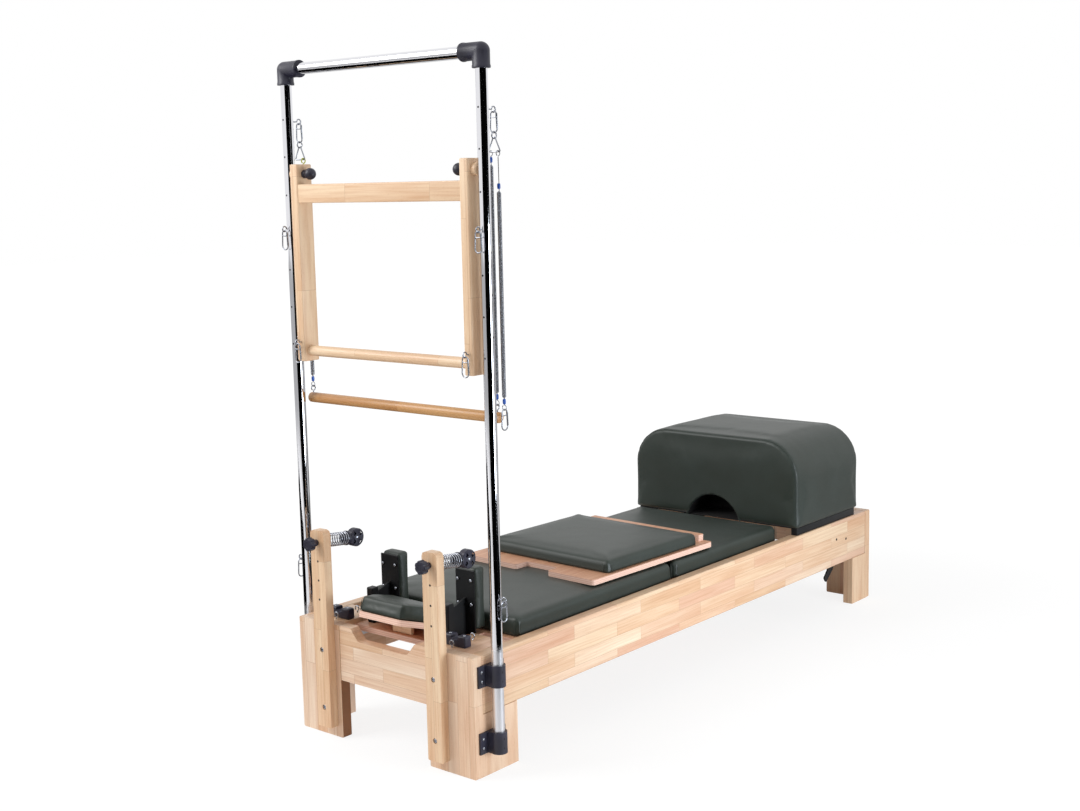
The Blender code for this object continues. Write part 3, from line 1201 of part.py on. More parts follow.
def footbar_carrier():
    """Spring bar with the two brackets that carry it and the footbar's pivot pins."""
    carrier = spring_bar()
    y, z = FOOTBAR_PIVOT_Y, FOOTBAR_PIVOT_HEIGHT
    near, low = SPRING_BAR_Y - BRACKET_MARGIN, SPRING_BAR_LOW - 0.006
    far, rise = y + BRACKET_SHOULDER, BRACKET_HALF_HEIGHT
    corners = [(near, z + rise, 0.008), (near, low, 0.008), (y - 0.040, low, 0.010)]
    corners += [(y + u, z + v, radius) for u, v, radius in BRACKET_HOOK_OUTLINE]
    corners += [(far, z - rise, 0.010), (far, z + rise, 0.008)]
    wall = INSIDE - GAP - BRACKET_THICKNESS / 2
    half = FOOTBAR_HUB_LENGTH / 2
    inner, collar = FOOTBAR_X - half - 0.003, FOOTBAR_X + half + GAP
    profile = [(0.0, wall), (0.012, wall), (0.012, collar), (FOOTBAR_PIN_RADIUS, collar),
               (FOOTBAR_PIN_RADIUS, inner), (0.0, inner)]
    for side, name in SIDES:
        sheet = plate(f"footbar_bracket_{name}", rounded(corners, 0.0, 1), BRACKET_THICKNESS,
                      place(side * wall, 0, 0), "YZ", "black_steel")
        pin = turned(f"footbar_pin_{name}", profile, place(0, y, z), "X", "black_steel", FOOTBAR_PIN_STEPS)
        pin.rotation_euler = (0.0, side * math.pi / 2, 0.0)
        carrier = fuse(carrier, sheet, pin)
        ends = sorted((side * wall, side * (wall - BRACKET_THICKNESS / 2 - 0.004)))
        for setback in BRACKET_BOLT_SETBACKS:
            fuse(carrier, rod(f"bracket_bolt_{name}_{setback}", 0.006, ends[0], ends[1],
                              place(0, FRAME_LENGTH - setback, z), "X", "steel", 6))
    return carrier


def spring_bar():
    """Bar with five open teeth that the long springs hook on."""
    half = INSIDE - GAP - BRACKET_THICKNESS / 2
    low, top = SPRING_BAR_LOW, SPRING_BAR_LOW + SPRING_BAR_HEIGHT
    peak = top + SPRING_TOOTH_HEIGHT
    outline = [(-half, low), (half, low), (half, top)]
    wide, slim = SPRING_TOOTH_WIDTH / 2, SPRING_TOOTH_WIDTH / 4
    for x in reversed(SPRING_XS):
        outline += [(x + slim, top), (x + slim, peak - 0.010), (x + wide, peak - 0.004), (x + wide, peak),
                    (x - wide, peak), (x - wide, peak - 0.004), (x - slim, peak - 0.010), (x - slim, top)]
    outline.append((-half, top))
    return plate("footbar_and_spring_bar_bracket", outline, SPRING_BAR_THICKNESS, place(0, SPRING_BAR_Y, 0), "XZ",
                 "black_steel")


# Loose pieces
def build_filler_mat():
    """Board with two runners on the tracks, and its pad, level with the carriage's."""
    lift = add_pivot("filler_mat_lift", place(0, (FILLER_START + FILLER_END) / 2, BASE_LOW))
    half = CARRIAGE_HALF_WIDTH
    runner_out, runner_in = WHEEL_X + WHEEL_WIDTH / 2, WHEEL_X - WHEEL_WIDTH / 2
    foot = TRACK_TOP + GAP
    right = [(half, BASE_TOP), (half, BASE_LOW), (runner_out, BASE_LOW), (runner_out, foot), (runner_in, foot),
             (runner_in, BASE_LOW)]
    outline = right + [(-x, z) for x, z in reversed(right)]
    middle = place(0, (FILLER_START + FILLER_END) / 2, 0)
    ride(plate("filler_board", outline, FILLER_END - FILLER_START, middle, "XZ", "ply"), lift)
    ride(cushion("filler_pad", (-half, FILLER_START, BASE_TOP + GAP), (half, FILLER_END, PAD_TOP),
                 "leatherette", PAD_CROWN, 0.001), lift)
    return lift


def build_jump_board(below):
    """Notched board with its batten and cushion, laid on the pads and turned a little."""
    middle_y = JUMP_START + JUMP_LENGTH / 2
    lift = add_pivot("jump_board_lift", place(JUMP_X, middle_y, JUMP_LOW), JUMP_TURN, "Z")
    ride(lift, below)
    half = JUMP_HALF_WIDTH
    near, far, notch = -JUMP_LENGTH / 2, JUMP_LENGTH / 2, JUMP_NOTCH_DEPTH - JUMP_LENGTH / 2
    corners = [(-half, near, 0.012), (JUMP_NOTCH_LOW, near, 0.010), (JUMP_NOTCH_LOW, notch, 0.010),
               (JUMP_NOTCH_HIGH, notch, 0.010), (JUMP_NOTCH_HIGH, near, 0.010), (half, near, 0.012),
               (half, far, 0.012), (-half, far, 0.012)]
    centre = place(JUMP_X, middle_y, JUMP_LOW + JUMP_THICKNESS / 2)
    board = plate("jump_board", rounded(corners, 0.0, 3), JUMP_THICKNESS, centre, "XY", "ply")
    top = JUMP_LOW + JUMP_THICKNESS
    end = JUMP_START + JUMP_LENGTH - 0.002
    batten = box("jump_board_batten", (JUMP_X - BATTEN_HALF_WIDTH, end - BATTEN_DEPTH, top - 0.004),
                 (JUMP_X + BATTEN_HALF_WIDTH, end, top + BATTEN_HEIGHT), "ply", 0.002)
    ride(fuse(board, batten), lift)
    start = JUMP_START + JUMP_PAD_START
    pad_half = JUMP_PAD_HALF_WIDTH
    ride(cushion("jump_board_pad", (JUMP_X - pad_half, start, top + GAP),
                 (JUMP_X + pad_half, start + JUMP_PAD_LENGTH, top + JUMP_PAD_THICKNESS), "leatherette", 0.005,
                 0.002, 0.014), lift)


def build_sitting_box():
    """Upholstered box with rounded shoulders and an arch, on its two skids."""
    lift = add_pivot("sitting_box_lift", place(0, BOX_START + BOX_DEPTH / 2, FRAME_HEIGHT))
    half, top = BOX_HALF_WIDTH, BOX_LOW + BOX_HEIGHT
    corners = [(-half, BOX_LOW, 0.012), (half, BOX_LOW, 0.012), (half, top, BOX_CORNER), (-half, top, BOX_CORNER)]
    middle = place(0, BOX_START + BOX_DEPTH / 2, 0)
    body = to_mesh(plate("sitting_box", rounded(corners, 0.0, 8), BOX_DEPTH, middle, "XZ", "leatherette"))
    soften(body, 0.008)
    arch_radius = (ARCH_HALF_WIDTH ** 2 + ARCH_HEIGHT ** 2) / (2 * ARCH_HEIGHT)
    arch = rod("box_arch", arch_radius, -0.05, ARCH_DEPTH, place(0, BOX_START, BOX_LOW + ARCH_HEIGHT - arch_radius),
               "Y", "leatherette", 32)
    cut(body, arch)
    for side, name in SIDES:
        edges = sorted((side * (SKID_X - SKID_WIDTH / 2), side * (SKID_X + SKID_WIDTH / 2)))
        fuse(body, box(f"box_skid_{name}", (edges[0], BOX_START + 0.02, FRAME_HEIGHT + GAP),
                       (edges[1], BOX_START + BOX_DEPTH - 0.02, BOX_LOW + 0.004), "black_plastic"))
    ride(body, lift)


build_frame()
build_riser_fittings()
build_tower()
build_push_bar()
build_roll_down()
build_carriage()
build_foot_end()
build_jump_board(build_filler_mat())
build_sitting_box()
bpy.context.view_layer.update()
print("parts", len([obj for obj in PARTS.objects if obj.type != "EMPTY"]))
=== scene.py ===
# %% [markdown]
# A pilates reformer with its tower, dressed for a studio picture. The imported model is
# the frame of this scene: every board, joint and mount already stands at its real
# place. What is made here is the skin over it, so each new piece is laid exactly
# where its solid lies, and each solid whose shape is right just gets a better finish.

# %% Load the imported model
import math

import bmesh
import bpy
from mathutils import Matrix, Vector


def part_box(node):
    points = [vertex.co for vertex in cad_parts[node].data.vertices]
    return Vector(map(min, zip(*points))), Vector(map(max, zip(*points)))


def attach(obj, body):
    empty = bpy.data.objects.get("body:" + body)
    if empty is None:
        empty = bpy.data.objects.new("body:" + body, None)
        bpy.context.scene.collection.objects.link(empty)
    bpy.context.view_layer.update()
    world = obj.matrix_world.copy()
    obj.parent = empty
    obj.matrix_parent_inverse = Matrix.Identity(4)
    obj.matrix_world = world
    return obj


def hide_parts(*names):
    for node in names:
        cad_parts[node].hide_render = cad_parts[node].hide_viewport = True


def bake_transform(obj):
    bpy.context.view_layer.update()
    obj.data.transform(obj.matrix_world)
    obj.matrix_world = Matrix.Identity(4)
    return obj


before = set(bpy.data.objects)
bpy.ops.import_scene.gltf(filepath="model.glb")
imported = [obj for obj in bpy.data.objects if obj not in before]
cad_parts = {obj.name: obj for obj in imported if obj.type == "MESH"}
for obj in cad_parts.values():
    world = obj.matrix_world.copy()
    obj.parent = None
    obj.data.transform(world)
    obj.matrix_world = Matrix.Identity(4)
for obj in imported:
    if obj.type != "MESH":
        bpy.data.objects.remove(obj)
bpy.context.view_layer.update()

# %% [markdown]
# The camera comes first, because it decides what shows. It stands off the head end's right
# corner, a little above the tower's middle, and looks down the frame. The lens was worked
# out from the real sizes: the side rails' convergence gives it.

# %% Camera
CAMERA_PLACE = Vector((3.191, -4.189, 1.712))
CAMERA_AZIMUTH = math.radians(40.075)
CAMERA_DROP = math.radians(8.458)
CAMERA_ROLL = math.radians(-1.258)
LENS = 49.71
SENSOR = 36.0


def new_camera():
    """Camera whose rows are its right, up and backward directions."""
    azimuth, drop = CAMERA_AZIMUTH, CAMERA_DROP
    forward = Vector((-math.sin(azimuth) * math.cos(drop), math.cos(azimuth) * math.cos(drop),
                      -math.sin(drop)))
    level = Vector((math.cos(azimuth), math.sin(azimuth), 0.0))
    upright = level.cross(forward)
    right = level * math.cos(CAMERA_ROLL) + upright * math.sin(CAMERA_ROLL)
    up = upright * math.cos(CAMERA_ROLL) - level * math.sin(CAMERA_ROLL)
    data = bpy.data.cameras.new("studio_camera")
    data.lens = LENS
    data.sensor_width = SENSOR
    camera = bpy.data.objects.new("studio_camera", data)
    bpy.context.scene.collection.objects.link(camera)
    turn = Matrix((right, up, -forward)).transposed().to_4x4()
    camera.matrix_world = Matrix.Translation(CAMERA_PLACE) @ turn
    bpy.context.scene.camera = camera
    return camera


print("camera", new_camera().name, "lens", LENS, "mm")

# %% [markdown]
# A colour is written as the hex code that a paint chart gives, and the shader wants linear
# light. One function does the change, and one more adds a node with its settings, its links and,
# for a colour ramp, its stops, so that each finish below reads as a list of what it is made of.

# %% Colour and node helpers
def srgb(code):
    """Linear colour of a hex code."""
    shares = [int(code[i:i + 2], 16) / 255 for i in (1, 3, 5)]
    linear = [s / 12.92 if s <= 0.04045 else ((s + 0.055) / 1.055) ** 2.4 for s in shares]
    return (*linear, 1.0)


def add_node(tree, kind, inputs=None, stops=(), **settings):
    """Node with its settings, its inputs as values or links, and a ramp's stops as (place, hex code)."""
    node = tree.nodes.new("ShaderNode" + kind)
    for name, value in settings.items():
        setattr(node, name, value)
    for key, value in (inputs or {}).items():
        if isinstance(value, bpy.types.NodeSocket):
            tree.links.new(value, node.inputs[key])
        else:
            node.inputs[key].default_value = value
    if stops:
        elements = node.color_ramp.elements
        while len(elements) < len(stops):
            elements.new(0.5)
        for element, (place, code) in zip(elements, stops):
            element.position = place
            element.color = srgb(code)
    return node


def new_material(name, **shader_inputs):
    """Material with its Principled shader; socket names are written with _ for a space."""
    material = bpy.data.materials.new(name)
    material.use_nodes = True
    tree = material.node_tree
    shader = tree.nodes["Principled BSDF"]
    for key, value in shader_inputs.items():
        shader.inputs[key.replace("_", " ")].default_value = value
    return material, tree, shader


print("a mid grey, #808080, is", round(srgb("#808080")[0], 3), "in linear light")

# %% [markdown]
# The frame is beech butcher-block: staves about 44 mm wide and 350 mm long, glued edge to edge and end to
# end, planed and lacquered, which gives it a soft satin shine over a visible grain.
# Each stave comes from another tree, so its colour shifts from cream to orange to pink at the glue lines.
# A brick pattern lays out the staves in real sizes. Its random grey per brick runs through a ramp of beech
# colours, and it also shifts the grain, so that the grain breaks at each joint as real grain does.
# The cross board's staves lie level and the legs' stand, so the end boards swap the two axes past a seam.

# %% Beech
STAVE_LENGTH = 0.35
STAVE_WIDTH = 0.044
GLUE_LINE = 0.0005
SEAM_LINE = 0.0011
GLUE_BROWN = "#8A5A34"
BEECH_HUES = ((0.0, "#DDB690"), (0.18, "#EBD0B0"), (0.45, "#E6C4A2"), (0.62, "#F0DABF"), (0.82, "#E3BDA2"),
              (1.0, "#E9CBA9"))


def stave_layout(tree, place, along, rows, across):
    """The place with its first axis along the staves and its second across their rows."""
    axes = add_node(tree, "SeparateXYZ", {"Vector": place}).outputs
    made = add_node(tree, "CombineXYZ", {"X": axes[along], "Y": axes[rows], "Z": axes[across]})
    return made.outputs["Vector"]


def new_beech(name, along, rows, across, seam=None, width=STAVE_WIDTH, hues=BEECH_HUES):
    """Lacquered beech staves; past the seam on X, the staves stand instead of lying."""
    material, tree, shader = new_material(name, Roughness=0.42, Coat_Weight=0.22, Coat_Roughness=0.22)
    place = add_node(tree, "TexCoord").outputs["Object"]
    layout = stave_layout(tree, place, along, rows, across)
    if seam:
        standing = stave_layout(tree, place, rows, along, across)
        sideways = add_node(tree, "SeparateXYZ", {"Vector": place}).outputs["X"]
        apart = add_node(tree, "Math", {0: sideways}, operation="ABSOLUTE").outputs[0]
        past = add_node(tree, "Math", {0: apart, 1: seam}, operation="GREATER_THAN").outputs[0]
        layout = add_node(tree, "Mix", {"Factor": past, 4: layout, 5: standing},
                          data_type="VECTOR").outputs[1]
    staves = add_node(tree, "TexBrick", {
        "Vector": layout, "Color1": (0, 0, 0, 1), "Color2": (1, 1, 1, 1), "Mortar": (0.5, 0.5, 0.5, 1),
        "Scale": 1.0, "Mortar Size": GLUE_LINE, "Brick Width": STAVE_LENGTH, "Row Height": width},
        offset=0.37)
    chance = staves.outputs["Color"]
    shift = add_node(tree, "VectorMath", {0: chance, 1: (3.0, 5.0, 7.0)}, operation="MULTIPLY").outputs[0]
    moved = add_node(tree, "VectorMath", {0: layout, 1: shift}, operation="ADD").outputs[0]
    # Growth rings lie about 5 mm apart across the stave and run on for about 200 mm
    stretched = add_node(tree, "Mapping", {"Vector": moved, "Scale": (5.0, 190.0, 60.0)}).outputs[0]
    grain = add_node(tree, "TexNoise", {"Vector": stretched, "Scale": 1.0, "Detail": 4.0,
                                        "Roughness": 0.6}).outputs["Fac"]
    # Wide soft figure, about 60 mm by 400 mm
    cloudy = add_node(tree, "Mapping", {"Vector": moved, "Scale": (2.5, 16.0, 16.0)}).outputs[0]
    figure = add_node(tree, "TexNoise", {"Vector": cloudy, "Scale": 1.0, "Detail": 2.0}).outputs["Fac"]
    # Ray flecks are 2 mm dashes, drawn a little longer so that they show
    dashes = add_node(tree, "Mapping", {"Vector": moved, "Scale": (130.0, 900.0, 900.0)}).outputs[0]
    fleck = add_node(tree, "TexNoise", {"Vector": dashes, "Scale": 1.0, "Detail": 1.0}).outputs["Fac"]
    colour = add_node(tree, "ValToRGB", {"Fac": chance}, hues).outputs["Color"]
    for pattern, stops, share in ((grain, ((0.35, "#D9B899"), (0.60, "#FFFFFF")), 0.38),
                                  (figure, ((0.30, "#DDB08A"), (0.65, "#FFFFFF")), 0.38),
                                  (fleck, ((0.66, "#FFFFFF"), (0.78, "#C49A72")), 0.5)):
        tone = add_node(tree, "ValToRGB", {"Fac": pattern}, stops).outputs["Color"]
        colour = add_node(tree, "Mix", {"Factor": share, 6: colour, 7: tone},
                          data_type="RGBA", blend_type="MULTIPLY").outputs[2]
    glue = add_node(tree, "Math", {0: staves.outputs["Fac"], 1: 0.45}, operation="MULTIPLY").outputs[0]
    if seam:
        joint = add_node(tree, "Math", {0: apart, 1: seam, 2: SEAM_LINE}, operation="COMPARE").outputs[0]
        glue = add_node(tree, "Math", {0: glue, 1: joint}, operation="MAXIMUM").outputs[0]
    colour = add_node(tree, "Mix", {"Factor": glue, 6: colour, 7: srgb(GLUE_BROWN)},
                      data_type="RGBA").outputs[2]
    tree.links.new(colour, shader.inputs["Base Color"])
    relief = add_node(tree, "Bump", {"Height": grain, "Distance": 0.0002,
                                     "Strength": 0.35}).outputs["Normal"]
    tree.links.new(relief, shader.inputs["Normal"])
    return material


# %% [markdown]
# Each board then gets a beech of its own, whose staves run along the board and whose hues differ a
# little from the next one's. The risers and the tower's bars are single battens, so their rows are
# wider than they are and only end joints show. One material that served them all would need a
# switch for each board, so one function makes seven that are named for where they go.

# %% Beech finishes
BAR_HUES = ((0.0, "#C39259"), (0.5, "#D0A26A"), (1.0, "#BC8A53"))
PALE_HUES = ((0.0, "#EACBA8"), (0.5, "#F1D6B5"), (1.0, "#E9C9A5"))
HEAD_HUES = ((0.0, "#DFBB98"), (0.25, "#EFD6BC"), (0.60, "#E9CBAD"), (0.85, "#F3E0CB"), (1.0, "#E4C2A4"))
BEECH_LENGTHWISE = new_beech("beech_staves_lengthwise", "Y", "Z", "X")
BEECH_HEAD = new_beech("beech_staves_head", "X", "Z", "Y", seam=0.190, hues=HEAD_HUES)
BEECH_FOOT = new_beech("beech_staves_foot", "X", "Z", "Y", seam=0.200)
BEECH_UPRIGHT = new_beech("beech_staves_upright", "Z", "X", "Y", width=0.12, hues=PALE_HUES)
BEECH_CROSSWISE = new_beech("beech_staves_crosswise", "X", "Z", "Y", width=0.20, hues=PALE_HUES)
BEECH_BAR = new_beech("beech_bar", "X", "Z", "Y", width=0.20, hues=BAR_HUES)
BEECH_SHELF = new_beech("beech_staves_shelf", "Y", "X", "Z")
print("beech finishes made, staves", STAVE_WIDTH * 1000, "by", STAVE_LENGTH * 1000, "mm")

# %% [markdown]
# The carriage, the filler and the loose boards are birch plywood, 18 mm thick and lacquered to a pinkish
# tan. A face shows one sheet of veneer, and an edge shows its layers, light and dark in turn. The piece's
# own normal tells face from edge. The real layers are 1.4 mm thick, too fine for this picture, so they
# are drawn 3 mm thick. The headrest's board is tilted, so its pattern is turned back by its tilt.

# %% Plywood
PLY_LAYERS = 0.006
HEADREST_TILT = math.radians(15.0)


def new_plywood(name, tilt=0.0):
    """Plywood with its layers along the board's own height."""
    material, tree, shader = new_material(name, Roughness=0.48, Coat_Weight=0.12, Coat_Roughness=0.3)
    coordinates = add_node(tree, "TexCoord").outputs
    turned = add_node(tree, "Mapping", {"Vector": coordinates["Object"], "Rotation": (tilt, 0.0, 0.0)})
    level = add_node(tree, "Mapping", {"Vector": coordinates["Normal"], "Rotation": (tilt, 0.0, 0.0)})
    height = add_node(tree, "SeparateXYZ", {"Vector": turned.outputs[0]}).outputs["Z"]
    facing = add_node(tree, "SeparateXYZ", {"Vector": level.outputs[0]}).outputs["Z"]
    steep = add_node(tree, "Math", {0: facing}, operation="ABSOLUTE").outputs[0]
    is_edge = add_node(tree, "Math", {0: steep, 1: 0.6}, operation="LESS_THAN").outputs[0]
    phase = add_node(tree, "Math", {0: height, 1: 2 * math.pi / PLY_LAYERS}, operation="MULTIPLY").outputs[0]
    wave = add_node(tree, "Math", {0: phase}, operation="SINE").outputs[0]
    half = add_node(tree, "Math", {0: wave, 1: 0.5, 2: 0.5}, operation="MULTIPLY_ADD").outputs[0]
    edge = add_node(tree, "ValToRGB", {"Fac": half}, ((0.30, "#E0B4A0"), (0.70, "#EECAB8"))).outputs["Color"]
    stretched = add_node(tree, "Mapping", {"Vector": turned.outputs[0], "Scale": (150.0, 6.0, 150.0)})
    grain = add_node(tree, "TexNoise", {"Vector": stretched.outputs[0], "Scale": 1.0,
                                        "Detail": 3.0}).outputs["Fac"]
    face = add_node(tree, "ValToRGB", {"Fac": grain},
                    ((0.35, "#CC9271"), (0.62, "#DDAA88"))).outputs["Color"]
    colour = add_node(tree, "Mix", {"Factor": is_edge, 6: face, 7: edge}, data_type="RGBA").outputs[2]
    tree.links.new(colour, shader.inputs["Base Color"])
    relief = add_node(tree, "Bump", {"Height": grain, "Distance": 0.0002, "Strength": 0.3}).outputs["Normal"]
    tree.links.new(relief, shader.inputs["Normal"])
    return material


PLYWOOD = new_plywood("birch_plywood")
PLYWOOD_TILTED = new_plywood("birch_plywood_headrest", HEADREST_TILT)
print("plywood finishes made")

# %% [markdown]
# The tubes are chromed steel, polished down to a near mirror, with faint wiping marks.
# Below the rail's top they are bare drawn tube with a satin face, so roughness climbs with the lost height.
# Screw eyes, rings and hooks are zinc plated: whiter, softer and a little uneven.
# A metal keeps the default IOR, and its colour is what it reflects head on.

# %% Metals
SATIN_TOP = 0.375
SATIN_BLEND = 0.030


def new_metal(name, code, roughness, spread, grit, satin=None):
    """Metal whose roughness wanders by spread over spots of grit metres."""
    material, tree, shader = new_material(name, Base_Color=srgb(code), Metallic=1.0, Roughness=roughness)
    place = add_node(tree, "TexCoord").outputs["Object"]
    cloud = add_node(tree, "TexNoise", {"Vector": place, "Scale": 1.0 / grit, "Detail": 3.0}).outputs["Fac"]
    wander = add_node(tree, "Math", {0: cloud, 1: spread, 2: roughness}, operation="MULTIPLY_ADD").outputs[0]
    if satin:
        height = add_node(tree, "SeparateXYZ", {"Vector": place}).outputs["Z"]
        low = add_node(tree, "MapRange", {"Value": height, "From Min": SATIN_TOP, "To Min": satin,
                                          "From Max": SATIN_TOP + SATIN_BLEND, "To Max": 0.0}).outputs[0]
        wander = add_node(tree, "Math", {0: wander, 1: low}, operation="ADD").outputs[0]
    tree.links.new(wander, shader.inputs["Roughness"])
    relief = add_node(tree, "Bump", {"Height": cloud, "Distance": 0.0001,
                                     "Strength": 0.05}).outputs["Normal"]
    tree.links.new(relief, shader.inputs["Normal"])
    return material


CHROME = new_metal("polished_chrome", "#E4E4E8", 0.035, 0.05, 0.08)
CHROME_TUBE = new_metal("chrome_over_satin_tube", "#E4E4E8", 0.035, 0.05, 0.08, satin=0.30)
ZINC = new_metal("zinc_plated_steel", "#A6A9B1", 0.20, 0.16, 0.004)
SPRING_STEEL = new_metal("drawn_spring_steel", "#9A9CA3", 0.20, 0.14, 0.006)
ALUMINIUM = new_metal("extruded_aluminium", "#C9CBCE", 0.30, 0.15, 0.010)
print("metals made")

# %% [markdown]
# Knobs, elbows, clamps and pulley blocks are moulded nylon in a blue-black, with the fine spark grain
# of the mould, about 0.4 mm, drawn at 0.9 mm. Brackets and the footbar are steel under black powder
# coat, whose orange peel has waves of about 1.5 mm. The grip is closed-cell foam, dull and pitted.
# The springs' ends are dipped in blue or lime vinyl. A matt near black is painted shade: it stands for the
# dark inside holes and the arch, and partly under the box.

# %% Plastic, powder coat and foam
def new_coated(name, dark, light, roughness, grit, depth, **more):
    """Grained dark surface between two near colours."""
    material, tree, shader = new_material(name, Roughness=roughness, **more)
    place = add_node(tree, "TexCoord").outputs["Object"]
    tint = add_node(tree, "TexNoise", {"Vector": place, "Scale": 18.0, "Detail": 2.0}).outputs["Fac"]
    colour = add_node(tree, "ValToRGB", {"Fac": tint}, ((0.3, dark), (0.7, light))).outputs["Color"]
    tree.links.new(colour, shader.inputs["Base Color"])
    grain = add_node(tree, "TexNoise", {"Vector": place, "Scale": 1.0 / grit, "Detail": 2.0}).outputs["Fac"]
    uneven = add_node(tree, "Math", {0: grain, 1: 0.14, 2: roughness - 0.07},
                      operation="MULTIPLY_ADD").outputs[0]
    tree.links.new(uneven, shader.inputs["Roughness"])
    relief = add_node(tree, "Bump", {"Height": grain, "Distance": depth, "Strength": 0.5}).outputs["Normal"]
    tree.links.new(relief, shader.inputs["Normal"])
    return material


NYLON = new_coated("moulded_nylon", "#1E1D2A", "#28273A", 0.42, 0.0009, 0.0001)
POWDER_COAT = new_coated("black_powder_coat", "#0A0B0D", "#111215", 0.45, 0.0015, 0.0001,
                         Specular_IOR_Level=0.3)
FOAM = new_coated("closed_cell_foam", "#18181A", "#242427", 0.85, 0.0012, 0.0004)
BLUE_SLEEVE = new_coated("blue_dipped_vinyl", "#1F4FA8", "#2D63C4", 0.30, 0.0012, 0.0001)
LIME_SLEEVE = new_coated("lime_dipped_vinyl", "#B9BE35", "#CCD04A", 0.30, 0.0012, 0.0001)
# Painted shade: a near black laid where holes and hollows are dark
PAINTED_SHADE_BLACK = new_coated("painted_shade_black", "#0C0B0C", "#141213", 0.80, 0.0012, 0.0001)
print("plastics and coats made")

# %% [markdown]
# The cushions wear leatherette: vinyl cast on a knit, embossed with a hide grain.
# Its cells are about 1.2 mm, drawn at 2.2 mm so that they show, with round tops and sharp valleys.
# It is a dull grey green that turns paler where it grazes the light, so it has a medium roughness
# and a thin clear coat. Long soft waves stand for the cloth's pull over the foam.

# %% Leatherette
HIDE_CELL = 0.0022


def new_leatherette(name, dark, light):
    """Embossed vinyl between two near greens."""
    material, tree, shader = new_material(name, Coat_Weight=0.05, Coat_Roughness=0.35, Sheen_Weight=0.02)
    place = add_node(tree, "TexCoord").outputs["Object"]
    tint = add_node(tree, "TexNoise", {"Vector": place, "Scale": 6.0, "Detail": 3.0}).outputs["Fac"]
    colour = add_node(tree, "ValToRGB", {"Fac": tint}, ((0.30, dark), (0.70, light))).outputs["Color"]
    tree.links.new(colour, shader.inputs["Base Color"])
    cells = add_node(tree, "TexVoronoi", {"Vector": place, "Scale": 1.0 / HIDE_CELL, "Smoothness": 0.5},
                     feature="SMOOTH_F1").outputs["Distance"]
    pull = add_node(tree, "TexNoise", {"Vector": place, "Scale": 9.0, "Detail": 1.0}).outputs["Fac"]
    grain = add_node(tree, "Bump", {"Height": cells, "Distance": 0.0004, "Strength": 0.22}, invert=True)
    soft = add_node(tree, "Bump", {"Height": pull, "Distance": 0.006, "Strength": 0.35,
                                   "Normal": grain.outputs["Normal"]})
    tree.links.new(soft.outputs["Normal"], shader.inputs["Normal"])
    uneven = add_node(tree, "Math", {0: cells, 1: 0.14, 2: 0.40}, operation="MULTIPLY_ADD").outputs[0]
    tree.links.new(uneven, shader.inputs["Roughness"])
    return material


LEATHERETTE = new_leatherette("grey_green_leatherette", "#1D261E", "#252F29")
print("leatherette made, hide cells", HIDE_CELL * 1000, "mm")

# %% [markdown]
# Every piece is finished in the same way: it takes its material, rides on the body that carries it,
# and hides the solids that it stands for.

# %% Finishing a piece
SIDES = ((-1, "left"), (1, "right"))


def dress(piece, material, body, *nodes):
    """Give a new piece its finish and its body, and hide the solids that it replaces."""
    piece.data.materials.clear()
    piece.data.materials.append(material)
    if body:
        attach(piece, body)
    if nodes:
        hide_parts(*nodes)
    return piece


def refinish(material, *nodes):
    """A solid whose shape is right keeps it and only gets the better finish."""
    for name in nodes:
        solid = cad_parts[name]
        for slot in solid.material_slots:
            slot.material = material
        if not solid.material_slots:
            solid.data.materials.append(material)


# %% [markdown]
# Modelling goes as it would by hand: add a primitive, shape it in edit mode, apply modifiers. An
# operator works on whatever is selected, so each step starts from an empty selection. When a piece
# is done, its place is applied into its mesh, because the frame keeps every object at the origin.

# %% Selecting and finishing
SMOOTH_ANGLE = math.radians(38)
AXIS_TURNS = {"X": (0.0, math.pi / 2, 0.0), "Y": (-math.pi / 2, 0.0, 0.0), "Z": (0.0, 0.0, 0.0)}
AXES = {"X": Vector((1, 0, 0)), "Y": Vector((0, 1, 0)), "Z": Vector((0, 0, 1))}
DOWN = Vector((0, 0, -1))


def rest():
    """Object mode with nothing selected."""
    if bpy.context.mode != "OBJECT":
        bpy.ops.object.mode_set(mode="OBJECT")
    bpy.ops.object.select_all(action="DESELECT")


def activate(piece):
    """Select one piece and make it the active one."""
    rest()
    piece.select_set(True)
    bpy.context.view_layer.objects.active = piece


def finish_piece(name, angle=SMOOTH_ANGLE):
    """Name the piece in hand, apply its place, and shade its round stretches smooth."""
    piece = bpy.context.object
    activate(piece)
    piece.name = name
    piece.data.name = name
    bpy.ops.object.transform_apply(location=True, rotation=True, scale=True)
    bpy.ops.object.shade_smooth_by_angle(angle=angle)
    return piece


def choose(kind, test):
    """In edit mode, select just what passes a test of its middle; kind is VERT, EDGE or FACE."""
    bpy.context.tool_settings.mesh_select_mode = (kind == "VERT", kind == "EDGE", kind == "FACE")
    bpy.ops.mesh.select_all(action="DESELECT")
    data = bpy.context.object.data
    shape = bmesh.from_edit_mesh(data)
    for item in {"VERT": shape.verts, "EDGE": shape.edges, "FACE": shape.faces}[kind]:
        corners = [item] if kind == "VERT" else item.verts
        middle = sum((corner.co for corner in corners), Vector()) / len(corners)
        item.select_set(test(middle, item))
    shape.select_flush_mode()
    bmesh.update_edit_mesh(data)


print("round stretches are smooth up to", round(math.degrees(SMOOTH_ANGLE)), "degrees")

# %% [markdown]
# Three starts serve for almost every piece: a bar or board is a cube with bevelled edges, a tube
# or knob is a circle extruded from station to station as on a lathe, and a ring or spring is a
# curve with a round bevel. The curve is made a mesh at once, because the frame keeps meshes only.

